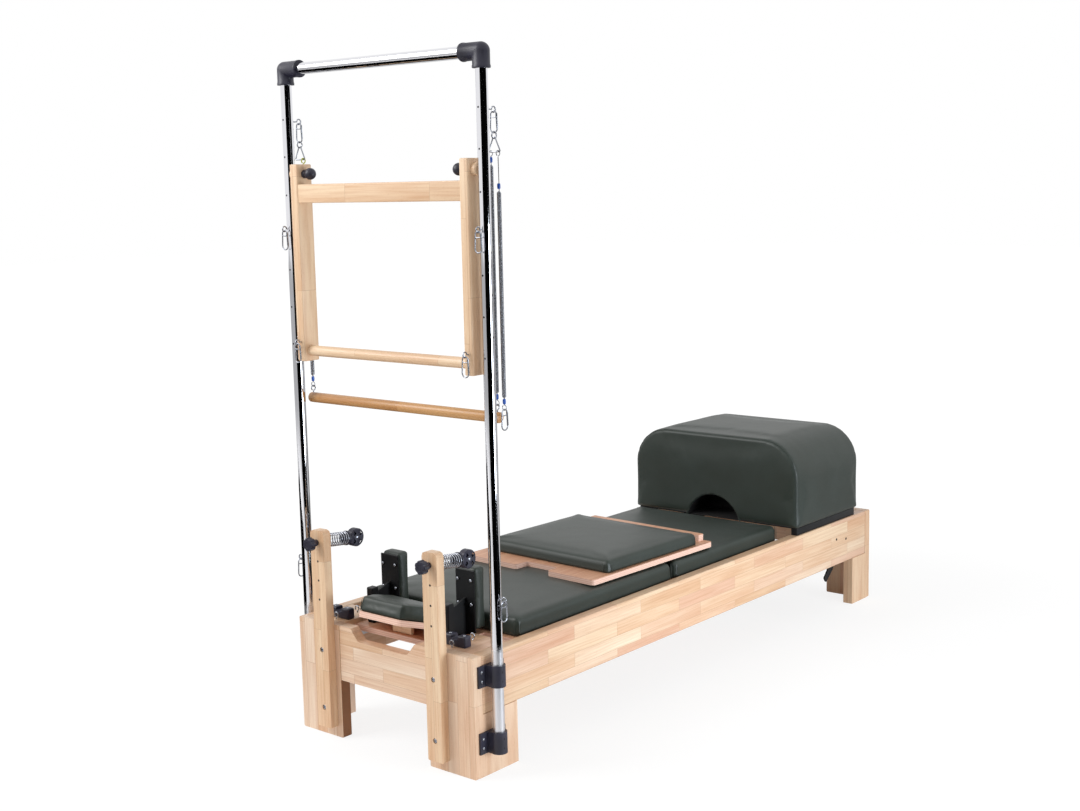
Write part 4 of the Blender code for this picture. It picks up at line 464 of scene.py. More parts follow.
# %% Blocks, turned shapes and wires
def block(name, low, high, edge=0.002, segments=3):
    """Bar or board with every edge rounded."""
    rest()
    low, high = Vector(low), Vector(high)
    bpy.ops.mesh.primitive_cube_add(size=1.0, location=(low + high) / 2, scale=high - low)
    bpy.ops.object.transform_apply(location=True, rotation=True, scale=True)
    bpy.ops.object.mode_set(mode="EDIT")
    bpy.ops.mesh.select_all(action="SELECT")
    bpy.ops.mesh.bevel(offset=edge, segments=segments, affect="EDGES")
    bpy.ops.object.mode_set(mode="OBJECT")
    return finish_piece(name)


def turn(name, stations, centre, axis="Z", vertices=48, bore=False):
    """Turned shape: a circle extruded from station to station, each a radius and a height on the axis."""
    rest()
    centre, along = Vector(centre), AXES[axis]
    radius, height = stations[0]
    bpy.ops.mesh.primitive_circle_add(vertices=vertices, radius=radius,
                                      fill_type="NOTHING" if bore else "NGON",
                                      enter_editmode=True, location=centre + along * height,
                                      rotation=AXIS_TURNS[axis])
    bpy.ops.mesh.select_all(action="SELECT")
    for (before, start), (after, end) in zip(stations, stations[1:]):
        bpy.ops.mesh.extrude_region_move(TRANSFORM_OT_translate={"value": along * (end - start)})
        bpy.ops.transform.resize(value=(after / before,) * 3, center_override=centre + along * end)
    bpy.ops.mesh.select_all(action="SELECT")
    bpy.ops.mesh.remove_doubles(threshold=0.000005)
    bpy.ops.mesh.normals_make_consistent(inside=False)
    bpy.ops.object.mode_set(mode="OBJECT")
    return finish_piece(name)


def wire(name, points, radius, cyclic=False, sides=8):
    """Round wire along points, made a mesh with its caps closed."""
    rest()
    curve = bpy.data.curves.new(name, "CURVE")
    curve.dimensions = "3D"
    spline = curve.splines.new("POLY")
    spline.points.add(len(points) - 1)
    for target, point in zip(spline.points, points):
        target.co = (*point, 1.0)
    spline.use_cyclic_u = cyclic
    curve.bevel_depth = radius
    curve.bevel_resolution = sides // 2 - 2
    curve.use_fill_caps = not cyclic
    piece = bpy.data.objects.new(name, curve)
    bpy.context.scene.collection.objects.link(piece)
    activate(piece)
    bpy.ops.object.convert(target="MESH")
    bpy.ops.object.mode_set(mode="EDIT")
    bpy.ops.mesh.select_all(action="SELECT")
    bpy.ops.mesh.remove_doubles(threshold=0.000005)
    bpy.ops.mesh.normals_make_consistent(inside=False)
    bpy.ops.object.mode_set(mode="OBJECT")
    return finish_piece(name, math.radians(60))


print("three kinds of start:", ", ".join(maker.__name__ for maker in (block, turn, wire)))

# %% [markdown]
# Holes are cut and barrels are merged with Boolean modifiers, which keep round walls exact
# where an inset or a bridge would need matching edges. A bevel after them softens the lips, as
# a mould or a file does. What repeats is modelled once and copied, each copy with its own mesh.

# %% Cutting, softening, joining and copying
def boolean(piece, tool, operation="DIFFERENCE"):
    """Cut or join with a tool, which is used up."""
    activate(piece)
    modifier = piece.modifiers.new("boolean", "BOOLEAN")
    modifier.operation = operation
    modifier.solver = "EXACT"
    modifier.object = tool
    bpy.ops.object.modifier_apply(modifier=modifier.name)
    bpy.data.objects.remove(tool, do_unlink=True)
    return piece


def round_edges(piece, width, segments=2, angle=35):
    """Soften each edge sharper than an angle."""
    activate(piece)
    modifier = piece.modifiers.new("soften", "BEVEL")
    modifier.width = width
    modifier.segments = segments
    modifier.limit_method = "ANGLE"
    modifier.angle_limit = math.radians(angle)
    bpy.ops.object.modifier_apply(modifier=modifier.name)
    bpy.ops.object.shade_smooth_by_angle(angle=SMOOTH_ANGLE)
    return piece


def join(name, *pieces):
    """Several shells as one piece."""
    rest()
    for piece in pieces:
        piece.select_set(True)
    bpy.context.view_layer.objects.active = pieces[0]
    bpy.ops.object.join()
    pieces[0].name = name
    pieces[0].data.name = name
    return pieces[0]


def copy_of(piece, name, matrix):
    """Copy with its own mesh, moved by a matrix; a mirrored one has its faces turned out again."""
    copy = bpy.data.objects.new(name, piece.data.copy())
    bpy.context.scene.collection.objects.link(copy)
    copy.data.transform(matrix)
    if matrix.determinant() < 0:
        copy.data.flip_normals()
    copy.data.name = name
    return copy


MIRROR_X = Matrix.Scale(-1.0, 4, (1, 0, 0))
print("helpers ready")

# %% [markdown]
# The boards of the frame, the risers and the brackets have the right
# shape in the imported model. They could be made again, but the copy would
# only repeat them, so they keep their solids and just get their finish.

# %% Frame boards and brackets keep their shape
KEPT = ((BEECH_LENGTHWISE, "side_rail_left", "side_rail_right"), (BEECH_HEAD, "head_frame"),
        (BEECH_FOOT, "foot_frame"), (BEECH_UPRIGHT, "riser_left", "riser_right"),
        (BEECH_CROSSWISE, "headrest_prop"), (PLYWOOD, "filler_board", "jump_board"),
        (PLYWOOD_TILTED, "headrest_board"), (ALUMINIUM, "wheel_track_left", "wheel_track_right"),
        (POWDER_COAT, "shoulder_bracket_left", "shoulder_bracket_right", "footbar_and_spring_bar_bracket"))
for material, *nodes in KEPT:
    refinish(material, *nodes)
print("solids kept", sum(len(nodes) for material, *nodes in KEPT))

# %% [markdown]
# A bolt or screw shows a domed head with a round socket. Half a ball with a hole cut in it would do, but a
# turned profile gives dome and socket at once, so one head is turned and copied to each place of its group.
# The risers' height holes and the rails' sunk bolts are drawn as the same head, flat and near black: painted
# shade of the holes.

# %% Screw heads
HEAD_Y = -1.165
RISER_X = 0.241
RISER_BOLT_SEAT_Y = -1.1921
RISER_BOLT_HEIGHTS = (0.286, 0.099)
RISER_FRONT_Y = -1.1951
RISER_HOLE_HEIGHTS = (0.570, 0.509, 0.448)
SHOULDER_X = 0.163
SHOULDER_PLATE_Y = HEAD_Y + 0.197
SHOULDER_SCREW_X = 0.027
SHOULDER_SCREW_HEIGHTS = (0.450, 0.525)
BRACKET_FOOT_Y = HEAD_Y + 0.178
BRACKET_FOOT_TOP = 0.3535
BRACKET_SCREW_X = 0.024
RAIL_FACE_X, RAIL_INSIDE_X = 0.3749, 0.3252
RAIL_BOLTS = ((HEAD_Y + 2.127, 0.2945), (HEAD_Y + 2.204, 0.283))
BRACKET_BOLT_Z = 0.290


def screw_head(name, radius, height, material, body, places, axis="Y", facing=-1):
    """One domed head with its socket, copied to each place as one group."""
    rise = [(radius, 0.0), (radius, 0.35), (radius * 0.86, 0.75), (radius * 0.55, 1.0), (radius * 0.42, 1.0),
            (radius * 0.40, 0.45)]
    stations = [(r, facing * height * h) for r, h in rise]
    first = turn(name, stations, (0, 0, 0), axis, 24)
    heads = [copy_of(first, f"{name}_{i}", Matrix.Translation(place)) for i, place in enumerate(places)]
    bpy.data.objects.remove(first, do_unlink=True)
    return dress(join(name, *heads), material, body)


groups = []
for side, name in SIDES:
    spots = [(side * RISER_X, RISER_BOLT_SEAT_Y, z) for z in RISER_BOLT_HEIGHTS]
    groups.append(screw_head(f"riser_bolts_{name}", 0.0068, 0.0022, SPRING_STEEL, "frame", spots))
    # Flat near-black discs: painted shade of the riser's height holes
    spots = [(side * RISER_X, RISER_FRONT_Y, z) for z in RISER_HOLE_HEIGHTS]
    groups.append(screw_head(f"riser_hole_rims_{name}", 0.0036, 0.0002, PAINTED_SHADE_BLACK, "frame", spots))
    spots = [(side * SHOULDER_X + dx, SHOULDER_PLATE_Y, z) for dx in (-SHOULDER_SCREW_X, SHOULDER_SCREW_X)
             for z in SHOULDER_SCREW_HEIGHTS]
    groups.append(screw_head(f"shoulder_screws_{name}", 0.0052, 0.0024, ZINC, "carriage", spots))
    spots = [(side * SHOULDER_X + dx, BRACKET_FOOT_Y, BRACKET_FOOT_TOP)
             for dx in (-BRACKET_SCREW_X, BRACKET_SCREW_X)]
    groups.append(screw_head(f"bracket_base_screws_{name}", 0.0060, 0.0040, ZINC, "carriage", spots, "Z", 1))
    # Flat near-black discs: painted shade of the holes that the rail bolts sit in
    spots = [(side * RAIL_FACE_X, y, z) for y, z in RAIL_BOLTS]
    groups.append(screw_head(f"rail_bolts_{name}", 0.0052, 0.0010, PAINTED_SHADE_BLACK, "frame", spots, "X", side))
    spots = [(side * RAIL_INSIDE_X, y, BRACKET_BOLT_Z) for y, z in RAIL_BOLTS]
    groups.append(screw_head(f"bracket_bolts_{name}", 0.0068, 0.0035, ZINC, "frame", spots, "X", -side))
print("screw groups", len(groups))

# %% [markdown]
# A screw eye is a zinc-plated wire bent round until it almost meets its own
# shank, with its root screwed into what carries it. A torus would close the ring,
# so the wire runs along its shank and then round a circle that stops just short.

# %% Screw eyes
EYE_RADIUS = 0.008
EYE_WIRE = 0.002
EYE_SHANK = 0.006
EYE_GAP = 0.0015
EYE_STEPS = 24


def screw_eye(name, seat, outwards, upright, shank=EYE_SHANK, root=0.004):
    """Screw eye with its root in what carries it."""
    seat, outwards, upright = Vector(seat), Vector(outwards), Vector(upright)
    middle = seat + outwards * (shank + EYE_RADIUS)
    closing = 2 * math.asin((2 * EYE_WIRE + EYE_GAP) / (2 * EYE_RADIUS))
    points = [seat - outwards * root, seat + outwards * shank * 0.7]
    for i in range(EYE_STEPS + 1):
        angle = (2 * math.pi - closing) * i / EYE_STEPS
        points.append(middle + (upright * math.sin(angle) - outwards * math.cos(angle)) * EYE_RADIUS)
    return wire(name, points, EYE_WIRE, sides=10)


print("screw eye", round(EYE_WIRE * 2000, 1), "mm thick,", round((EYE_RADIUS + EYE_WIRE) * 2000, 1),
      "mm across")

# %% [markdown]
# Each corner shelf at the head end carries a black block with two lobes, which keeps the straps apart,
# and a screw eye before and behind it. The shelf is a board, and the block is a bar whose middle is
# cut lower before its edges are rounded, so that the lobes and the dip get the same soft edge.

# %% Corner shelves
FRAME_TOP = 0.366
BLOCK_X = 0.250
BLOCK_Y = HEAD_Y + 0.070
BLOCK_HALF = 0.0425
BLOCK_HALF_DEPTH = 0.015
BLOCK_HEIGHT = 0.035
BLOCK_DIP = 0.012
LOBE = 0.030
BLOCK_SCREW_X = 0.028
STRAP_EYES = (("near", HEAD_Y + 0.0445), ("far", HEAD_Y + 0.134))

for side, name in SIDES:
    low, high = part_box(f"strap_shelf_{name}")
    shelf = block(f"corner_shelf_{name}", low, (high.x, high.y, FRAME_TOP), 0.0015)
    dress(shelf, BEECH_SHELF, "frame", f"strap_shelf_{name}")
    x = side * BLOCK_X
    lobes = block(f"strap_block_{name}", (x - BLOCK_HALF, BLOCK_Y - BLOCK_HALF_DEPTH, FRAME_TOP + 0.0001),
                  (x + BLOCK_HALF, BLOCK_Y + BLOCK_HALF_DEPTH, FRAME_TOP + BLOCK_HEIGHT), 0.0055, 4)
    dip = block("dip", (x - BLOCK_HALF + LOBE, BLOCK_Y - 0.03, FRAME_TOP + BLOCK_HEIGHT - BLOCK_DIP),
                (x + BLOCK_HALF - LOBE, BLOCK_Y + 0.03, FRAME_TOP + BLOCK_HEIGHT + 0.02), 0.004, 3)
    round_edges(boolean(lobes, dip), 0.0012, 2, 50)
    dress(lobes, NYLON, "frame")
    for word, y in STRAP_EYES:
        eye = screw_eye(f"strap_eye_{word}_{name}", (x, y, FRAME_TOP), (0, 0, 1), (1, 0, 0))
        dress(eye, ZINC, "frame")
    spots = [(x + dx, BLOCK_Y, FRAME_TOP + BLOCK_HEIGHT - 0.0006) for dx in (-BLOCK_SCREW_X, BLOCK_SCREW_X)]
    screw_head(f"strap_block_screws_{name}", 0.0048, 0.0022, ZINC, "frame", spots, "Z", 1)
print("corner shelves at", FRAME_TOP, "m")

# %% [markdown]
# The tower is two upright tubes and a crossbar, 35 mm across with a 1.5 mm wall. A tube is a ring
# that is extruded down its outside, stepped in at the end, and run back up its inside. The row of
# small holes in its front is cut right through the wall, so that they are dark for the real reason.

# %% Tower tubes
TUBE_X = 0.405
TUBE_RADIUS = 0.0175
TUBE_WALL = 0.0015
TUBE_SIDES = 64
TUBE_HOLE = 0.0030
FRONT_HOLES = (1.923, 1.810, 1.693, 1.463, 1.347, 1.231)
SIDE_HOLES = (1.526, 1.408, 1.290)
DRILL = ((TUBE_HOLE, 0.0), (TUBE_HOLE, 0.02))
bar_low, bar_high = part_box("tower_crossbar")
TOWER_Y = (bar_low.y + bar_high.y) / 2
CROSSBAR_Z = (bar_low.z + bar_high.z) / 2
FRONT_EYE_Z = 1.590
SIDE_EYE_Z = 0.535
BACK_EYE_Z = 1.918
BACK_EYE_SHANK = 0.0195


def tube_stations(low, high):
    """Outside, end and inside of a tube, with its lower end's edge taken off."""
    inner = TUBE_RADIUS - TUBE_WALL
    return [(TUBE_RADIUS, high), (TUBE_RADIUS, low + 0.0005), (TUBE_RADIUS - 0.0005, low), (inner, low),
            (inner, high), (TUBE_RADIUS, high)]


for side, name in SIDES:
    low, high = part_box(f"tower_tube_{name}")
    x = side * TUBE_X
    tube = turn(f"upright_tube_{name}", tube_stations(low.z, high.z), (x, TOWER_Y, 0), "Z", TUBE_SIDES,
                bore=True)
    drills = [turn("drill", DRILL, (x, TOWER_Y - TUBE_RADIUS - 0.015, z), "Y", 16) for z in FRONT_HOLES]
    side_x = x + side * (TUBE_RADIUS + 0.005) - 0.010
    drills += [turn("drill", DRILL, (side_x, TOWER_Y, z), "X", 16) for z in SIDE_HOLES]
    boolean(tube, join("drills", *drills))
    activate(tube)
    bpy.ops.object.shade_smooth_by_angle(angle=SMOOTH_ANGLE)
    dress(tube, CHROME_TUBE, "frame", f"tower_tube_{name}")
    for word, outwards, z, shank in (("front", (0, -1, 0), FRONT_EYE_Z, EYE_SHANK),
                                     ("side", (side, 0, 0), SIDE_EYE_Z, EYE_SHANK),
                                     ("back", (0, 1, 0), BACK_EYE_Z, BACK_EYE_SHANK)):
        seat = Vector((x, TOWER_Y, z)) + Vector(outwards) * TUBE_RADIUS
        eye = screw_eye(f"tube_eye_{word}_{name}", seat, outwards, (0, 0, 1), shank, 0.001)
        dress(eye, ZINC, "frame")
crossbar = turn("crossbar_tube", tube_stations(bar_low.x, bar_high.x), (0, TOWER_Y, CROSSBAR_Z), "X",
                TUBE_SIDES, bore=True)
dress(crossbar, CHROME, "frame", "tower_crossbar")
print("tower", round(high.z, 3), "m up to its sockets")

# %% [markdown]
# The elbows are moulded in one: a barrel down, a barrel across, and a ball where they meet.
# A bent sweep would pinch at its inner corner, so Boolean unions merge the three. The bores are cut last,
# and a bevel gives the mould's soft lips.

# %% Elbows
ELBOW_RADIUS = 0.0262
ELBOW_DROP = 0.046
ELBOW_REACH = 0.068
SOCKET_DEPTH = 0.030
LIP = 0.007

for side, name in SIDES:
    corner = Vector((side * TUBE_X, TOWER_Y, CROSSBAR_Z))
    slim = ELBOW_RADIUS - 0.0012
    barrel = [(ELBOW_RADIUS, -ELBOW_DROP), (ELBOW_RADIUS, LIP - ELBOW_DROP),
              (slim, LIP - ELBOW_DROP + 0.002), (slim, 0.0)]
    elbow = turn(f"elbow_{name}", barrel, corner, "Z", 56)
    across = [(r, -side * h) for r, h in ((slim, 0.0), (slim, ELBOW_REACH - LIP - 0.002),
                                          (ELBOW_RADIUS, ELBOW_REACH - LIP), (ELBOW_RADIUS, ELBOW_REACH))]
    boolean(elbow, turn("elbow_arm", across, corner, "X", 56), "UNION")
    rest()
    bpy.ops.mesh.primitive_uv_sphere_add(segments=56, ring_count=28, radius=slim, location=corner)
    boolean(elbow, finish_piece("elbow_ball"), "UNION")
    bore = TUBE_RADIUS + 0.0002
    ends = [(bore, -ELBOW_DROP - 0.01), (bore, SOCKET_DEPTH - ELBOW_DROP)]
    boolean(elbow, turn("bore", ends, corner, "Z", TUBE_SIDES))
    ends = [(bore, -side * (ELBOW_REACH + 0.01)), (bore, -side * (ELBOW_REACH - SOCKET_DEPTH))]
    boolean(elbow, turn("bore", ends, corner, "X", TUBE_SIDES))
    round_edges(elbow, 0.0016, 3, 50)
    dress(elbow, NYLON, "frame", f"tower_elbow_{name}")
print("elbows at", round(CROSSBAR_Z, 3), "m")

# %% [markdown]
# A clamp is a half barrel on two flanges, screwed to the rail with four screws.
# The barrel is joined to a throat and a plate that are each a hair smaller,
# because a Boolean union fails on faces that lie in one plane. The right clamp is
# made once and copied to both heights, and its mirror image holds the left tube.

# %% Tube clamps
CLAMP_HEIGHTS = (("lower", 0.105), ("upper", 0.306))
CLAMP_HALF_HEIGHT = 0.0325
CLAMP_HALF_WIDTH = 0.055
CLAMP_WALL = 0.0065
FLANGE_FROM, FLANGE_TO = 0.3753, 0.3813
CLAMP_SCREW_Y, CLAMP_SCREW_Z = 0.042, 0.014


def right_clamp(name, z):
    """Clamp of the right tube, at its height."""
    reach = TUBE_RADIUS + CLAMP_WALL
    middle = Vector((TUBE_X, TOWER_Y, z))
    clamp = turn(name, [(reach, -CLAMP_HALF_HEIGHT), (reach, CLAMP_HALF_HEIGHT)], middle, "Z", 56)
    throat_half = CLAMP_HALF_HEIGHT - 0.0006
    throat = block("throat", (FLANGE_FROM + 0.0008, TOWER_Y - reach + 0.0004, z - throat_half),
                   (TUBE_X, TOWER_Y + reach - 0.0004, z + throat_half), 0.0001, 1)
    boolean(clamp, throat, "UNION")
    flange_half = CLAMP_HALF_HEIGHT - 0.0003
    flange = block("flange", (FLANGE_FROM, TOWER_Y - CLAMP_HALF_WIDTH, z - flange_half),
                   (FLANGE_TO, TOWER_Y + CLAMP_HALF_WIDTH, z + flange_half), 0.0001, 1)
    boolean(clamp, flange, "UNION")
    bore = TUBE_RADIUS + 0.0002
    boolean(clamp, turn("bore", [(bore, -0.05), (bore, 0.05)], middle, "Z", TUBE_SIDES))
    return round_edges(clamp, 0.0014, 3, 40)


first = right_clamp("clamp", 0.0)
for level, z in CLAMP_HEIGHTS:
    clamp = copy_of(first, f"clamp_{level}_right", Matrix.Translation((0, 0, z)))
    mirrored = copy_of(clamp, f"clamp_{level}_left", MIRROR_X)
    for side, name, piece in ((1, "right", clamp), (-1, "left", mirrored)):
        dress(piece, NYLON, "frame", f"{level}_clamp_{name}")
        spots = [(side * FLANGE_TO, TOWER_Y + dy, z + dz) for dy in (-CLAMP_SCREW_Y, CLAMP_SCREW_Y)
                 for dz in (-CLAMP_SCREW_Z, CLAMP_SCREW_Z)]
        screw_head(f"clamp_screws_{level}_{name}", 0.0050, 0.0030, SPRING_STEEL, "frame", spots, "X", side)
        crown = side * (TUBE_X + TUBE_RADIUS + CLAMP_WALL - 0.0008)
        spots = [(crown, TOWER_Y - 0.002, z + dz) for dz in (-CLAMP_SCREW_Z, CLAMP_SCREW_Z)]
        # Black dots on the clamp's crown, drawn as flat discs in the same near black
        screw_head(f"clamp_plugs_{level}_{name}", 0.0040, 0.0007, PAINTED_SHADE_BLACK, "frame", spots, "X", side)
bpy.data.objects.remove(first, do_unlink=True)
print("clamps at", [z for level, z in CLAMP_HEIGHTS])

# %% [markdown]
# A snap hook hangs in each eye: an egg of 4 mm wire with a sprung gate in one side and a small
# bar that keeps the eye in its narrow end. The egg could be a stretched torus, but its two ends
# differ, so the wire follows two half circles. One hook is made at the origin, and the rest are
# copies turned and moved. Each hangs by its top, just under the lower rim of the screw eye.

# %% Snap hooks
HOOK_LENGTH = 0.060
HOOK_HEAD, HOOK_FOOT = 0.0106, 0.0125
HOOK_WIRE = 0.0020
ARC_STEPS = 14
EYE_HANG = EYE_RADIUS - EYE_WIRE - HOOK_WIRE - 0.0003


def link_points(length, head, foot, across=Vector((1, 0, 0))):
    """Closed link that hangs from the origin, round at both ends."""
    points = []
    for i in range(ARC_STEPS + 1):
        angle = math.pi * i / ARC_STEPS
        points.append(across * head * math.cos(angle) + DOWN * head * (1 - math.sin(angle)))
    for i in range(ARC_STEPS + 1):
        angle = math.pi * i / ARC_STEPS
        points.append(-across * foot * math.cos(angle) + DOWN * (length - foot * (1 - math.sin(angle))))
    return points


def first_hook():
    """Snap hook that hangs from the origin in the plane of X and Z, its gate at +X."""
    ring = wire("snap_hook", link_points(HOOK_LENGTH, HOOK_HEAD, HOOK_FOOT), HOOK_WIRE, cyclic=True,
                sides=10)
    sleeve = [(0.0022, 0.024), (0.0030, 0.023), (0.0030, 0.015), (0.0026, 0.013), (0.0026, -0.017),
              (0.0022, -0.018)]
    gate = turn("gate", sleeve, (0, 0, 0), "Z", 20)
    lean = math.atan2(HOOK_FOOT - HOOK_HEAD, HOOK_LENGTH - HOOK_HEAD - HOOK_FOOT)
    middle = Vector(((HOOK_HEAD + HOOK_FOOT) / 2, 0, -HOOK_LENGTH / 2))
    gate.data.transform(Matrix.Translation(middle) @ Matrix.Rotation(-lean, 4, "Y"))
    bar_height = -0.0165
    bar = wire("eye_bar", [(-HOOK_HEAD, 0, bar_height), (0, 0, bar_height - 0.002),
                           (HOOK_HEAD, 0, bar_height)], HOOK_WIRE * 0.8)
    return join("snap_hook", ring, gate, bar)


HOOK = first_hook()
print("snap hook", HOOK_LENGTH * 1000, "mm long,", len(HOOK.data.polygons), "faces")

# %% [markdown]
# Six free hooks hang about the tower: one on each tube's front, one on each tube's outer side and
# one low on each upright of the push-through bar. A link hangs across its eye, so those on the tubes'
# sides are turned by a quarter. Each rides on a body of its own, because each swings by itself.

# %% Hang the hooks
EYE_REACH = TUBE_RADIUS + EYE_SHANK + EYE_RADIUS
PUSH_X = 0.354
PUSH_FRONT_Y = TOWER_Y - 0.030
PUSH_EYE_Z = 1.241


def hang_hook(name, top, along_y=False):
    """Copy of the hook that hangs from a top, its gate to +X or +Y."""
    spin = Matrix.Rotation(math.pi / 2 if along_y else 0.0, 4, "Z")
    return copy_of(HOOK, name, Matrix.Translation(top) @ spin)


for side, name in SIDES:
    top = Vector((side * TUBE_X, TOWER_Y - EYE_REACH, FRONT_EYE_Z - EYE_HANG))
    dress(hang_hook(f"tube_front_snap_{name}", top), ZINC, f"{name}_front_hook", f"front_hook_{name}")
    top = Vector((side * (TUBE_X + EYE_REACH), TOWER_Y, SIDE_EYE_Z - EYE_HANG))
    dress(hang_hook(f"tube_side_snap_{name}", top, True), ZINC, f"{name}_side_hook", f"side_hook_{name}")
    top = Vector((side * PUSH_X, PUSH_FRONT_Y - EYE_SHANK - EYE_RADIUS, PUSH_EYE_Z - EYE_HANG))
    dress(hang_hook(f"push_bar_snap_{name}", top), ZINC, f"{name}_push_hook", f"push_hook_{name}")
print("snap hooks", 6)

# %% [markdown]
# The push-through bar is a beech frame that swings between the tubes: two flat uprights, a rail let into
# their fronts, and a dowel below. It turns on two pins, each with a round knob inside and a spacer outside.

# %% Push-through bar
PUSH_THICKNESS = 0.032
PUSH_DEPTH = 0.060
PUSH_FOOT, PUSH_TOP = 1.180, 1.787
PUSH_PIVOT_Z = 1.757
PUSH_RAIL_LOW, PUSH_RAIL_HIGH = 1.669, 1.726
PUSH_RAIL_BACK = 0.032
PUSH_DOWEL_Z = 1.212
PUSH_DOWEL_RADIUS = 0.0165
KNOB_RADIUS = 0.018

inner = PUSH_X - PUSH_THICKNESS / 2
rail = block("push_rail", (-inner - 0.004, PUSH_FRONT_Y + 0.002, PUSH_RAIL_LOW),
             (inner + 0.004, PUSH_FRONT_Y + PUSH_RAIL_BACK, PUSH_RAIL_HIGH), 0.0035, 4)
dress(rail, BEECH_CROSSWISE, "push_through_bar", "push_bar")
dowel = turn("push_dowel", [(PUSH_DOWEL_RADIUS, -inner - 0.004), (PUSH_DOWEL_RADIUS, inner + 0.004)],
             (0, TOWER_Y, PUSH_DOWEL_Z), "X", 40)
dress(dowel, BEECH_CROSSWISE, "push_through_bar")
for side, name in SIDES:
    x = side * PUSH_X
    post = block(f"push_upright_{name}", (x - PUSH_THICKNESS / 2, PUSH_FRONT_Y, PUSH_FOOT),
                 (x + PUSH_THICKNESS / 2, PUSH_FRONT_Y + PUSH_DEPTH, PUSH_TOP), 0.0040, 4)
    dress(post, BEECH_UPRIGHT, "push_through_bar")
    face, back = inner, PUSH_X + PUSH_THICKNESS / 2
    tube_face = TUBE_X - TUBE_RADIUS - 0.0003
    ball = face - 0.012 - KNOB_RADIUS * 0.85
    washer = [(0.017, tube_face), (0.019, tube_face - 0.002), (0.019, back + 0.0003), (0.012, back - 0.001)]
    washer = turn(f"pivot_washer_{name}", [(r, side * h) for r, h in washer], (0, TOWER_Y, PUSH_PIVOT_Z),
                  "X", 40)
    dress(washer, BEECH_CROSSWISE, "push_through_bar")
    profile = [(0.008, back - 0.002), (0.008, face + 0.002), (0.013, face + 0.001), (0.013, face - 0.004),
               (0.0095, face - 0.012)]
    for i in range(12):
        angle = math.radians(58 - 145 * i / 11)
        profile.append((KNOB_RADIUS * math.cos(angle), ball + KNOB_RADIUS * math.sin(angle)))
    knob = turn(f"pivot_knob_{name}", [(r, side * h) for r, h in profile], (0, TOWER_Y, PUSH_PIVOT_Z), "X",
                40)
    dress(knob, NYLON, "push_through_bar")
    eye = screw_eye(f"push_eye_{name}", (x, PUSH_FRONT_Y, PUSH_EYE_Z), (0, -1, 0), (0, 0, 1))
    dress(eye, ZINC, "push_through_bar")
print("push-through bar hangs from", PUSH_PIVOT_Z, "m")

# %% [markdown]
# Behind each tube a chain of three links hangs in the screw eye: a snap hook, a
# small ring and a D-ring whose flat foot the springs hang on. Each link passes
# through the one above by a little more than its wire, so that they hold each
# other without touching. Rings and D-rings are wires along points, as the hook is.

# %% Hanger chains
HANG_Y = TOWER_Y + TUBE_RADIUS + BACK_EYE_SHANK + EYE_RADIUS
LINK_LAP = 0.0034
RING_RADIUS = 0.0095
DRING_LENGTH = 0.040
DRING_HALF_WIDTH = 0.0205
DRING_TOP_HALF = 0.0066
DRING_CORNER = 0.004


def hanger(name, x):
    """Snap hook, ring and D-ring as one; gives the height of the D-ring's foot."""
    top = Vector((x, HANG_Y, BACK_EYE_Z - EYE_HANG))
    hook = hang_hook(f"hanger_hook_{name}", top)
    top = top + DOWN * (HOOK_LENGTH - LINK_LAP)
    round_link = link_points(2 * RING_RADIUS, RING_RADIUS, RING_RADIUS, Vector((0, 1, 0)))
    ring = wire("ring", [top + point for point in round_link], HOOK_WIRE, cyclic=True, sides=10)
    top = top + DOWN * (2 * RING_RADIUS - LINK_LAP)
    outline = []
    for i in range(ARC_STEPS + 1):
        angle = math.pi * i / ARC_STEPS
        outline.append((DRING_TOP_HALF * math.cos(angle), -DRING_TOP_HALF * (1 - math.sin(angle))))
    for word, start in ((-1, 180), (1, 270)):
        centre = (word * (DRING_HALF_WIDTH - DRING_CORNER), DRING_CORNER - DRING_LENGTH)
        for i in range(5):
            angle = math.radians(start + 22.5 * i)
            outline.append((centre[0] + DRING_CORNER * math.cos(angle),
                            centre[1] + DRING_CORNER * math.sin(angle)))
    d_ring = wire("d_ring", [top + Vector((u, 0, v)) for u, v in outline], HOOK_WIRE, cyclic=True, sides=10)
    return join(name, hook, ring, d_ring), top.z - DRING_LENGTH


for side, name in SIDES:
    chain, foot_z = hanger(f"hanger_chain_{name}", side * TUBE_X)
    dress(chain, ZINC, "roll_down_springs", f"spring_hanger_{name}")
print("hanger chains down to", round(foot_z, 4), "m")

# %% [markdown]
# The roll-down bar hangs on two long extension springs, and a third spring hangs
# free beside the right one. Each is close wound from 2.6 mm wire: about 250 turns
# that touch at rest and part as the spring is pulled. A screw modifier can't taper
# the last turns, so a loop works the turns out, one point every thirty degrees.

# %% Winding a spring
SPRING_WIRE = 0.0013
SPRING_RADIUS = 0.0066
SPRING_RING = 0.0075
SPRING_NECK = 0.004
RING_SWEEP = math.radians(325)
FERRULE_RADIUS = 0.0045
FERRULE_LENGTH = 0.016
COIL_STEPS = 12


def ring_points(seat, towards, across):
    """Spring's end ring, from its neck round to its tip."""
    middle = seat + towards * (SPRING_NECK + SPRING_RING)
    points = [seat]
    for i in range(EYE_STEPS + 1):
        angle = RING_SWEEP * i / EYE_STEPS
        points.append(middle + (across * math.sin(angle) - towards * math.cos(angle)) * SPRING_RING)
    return points


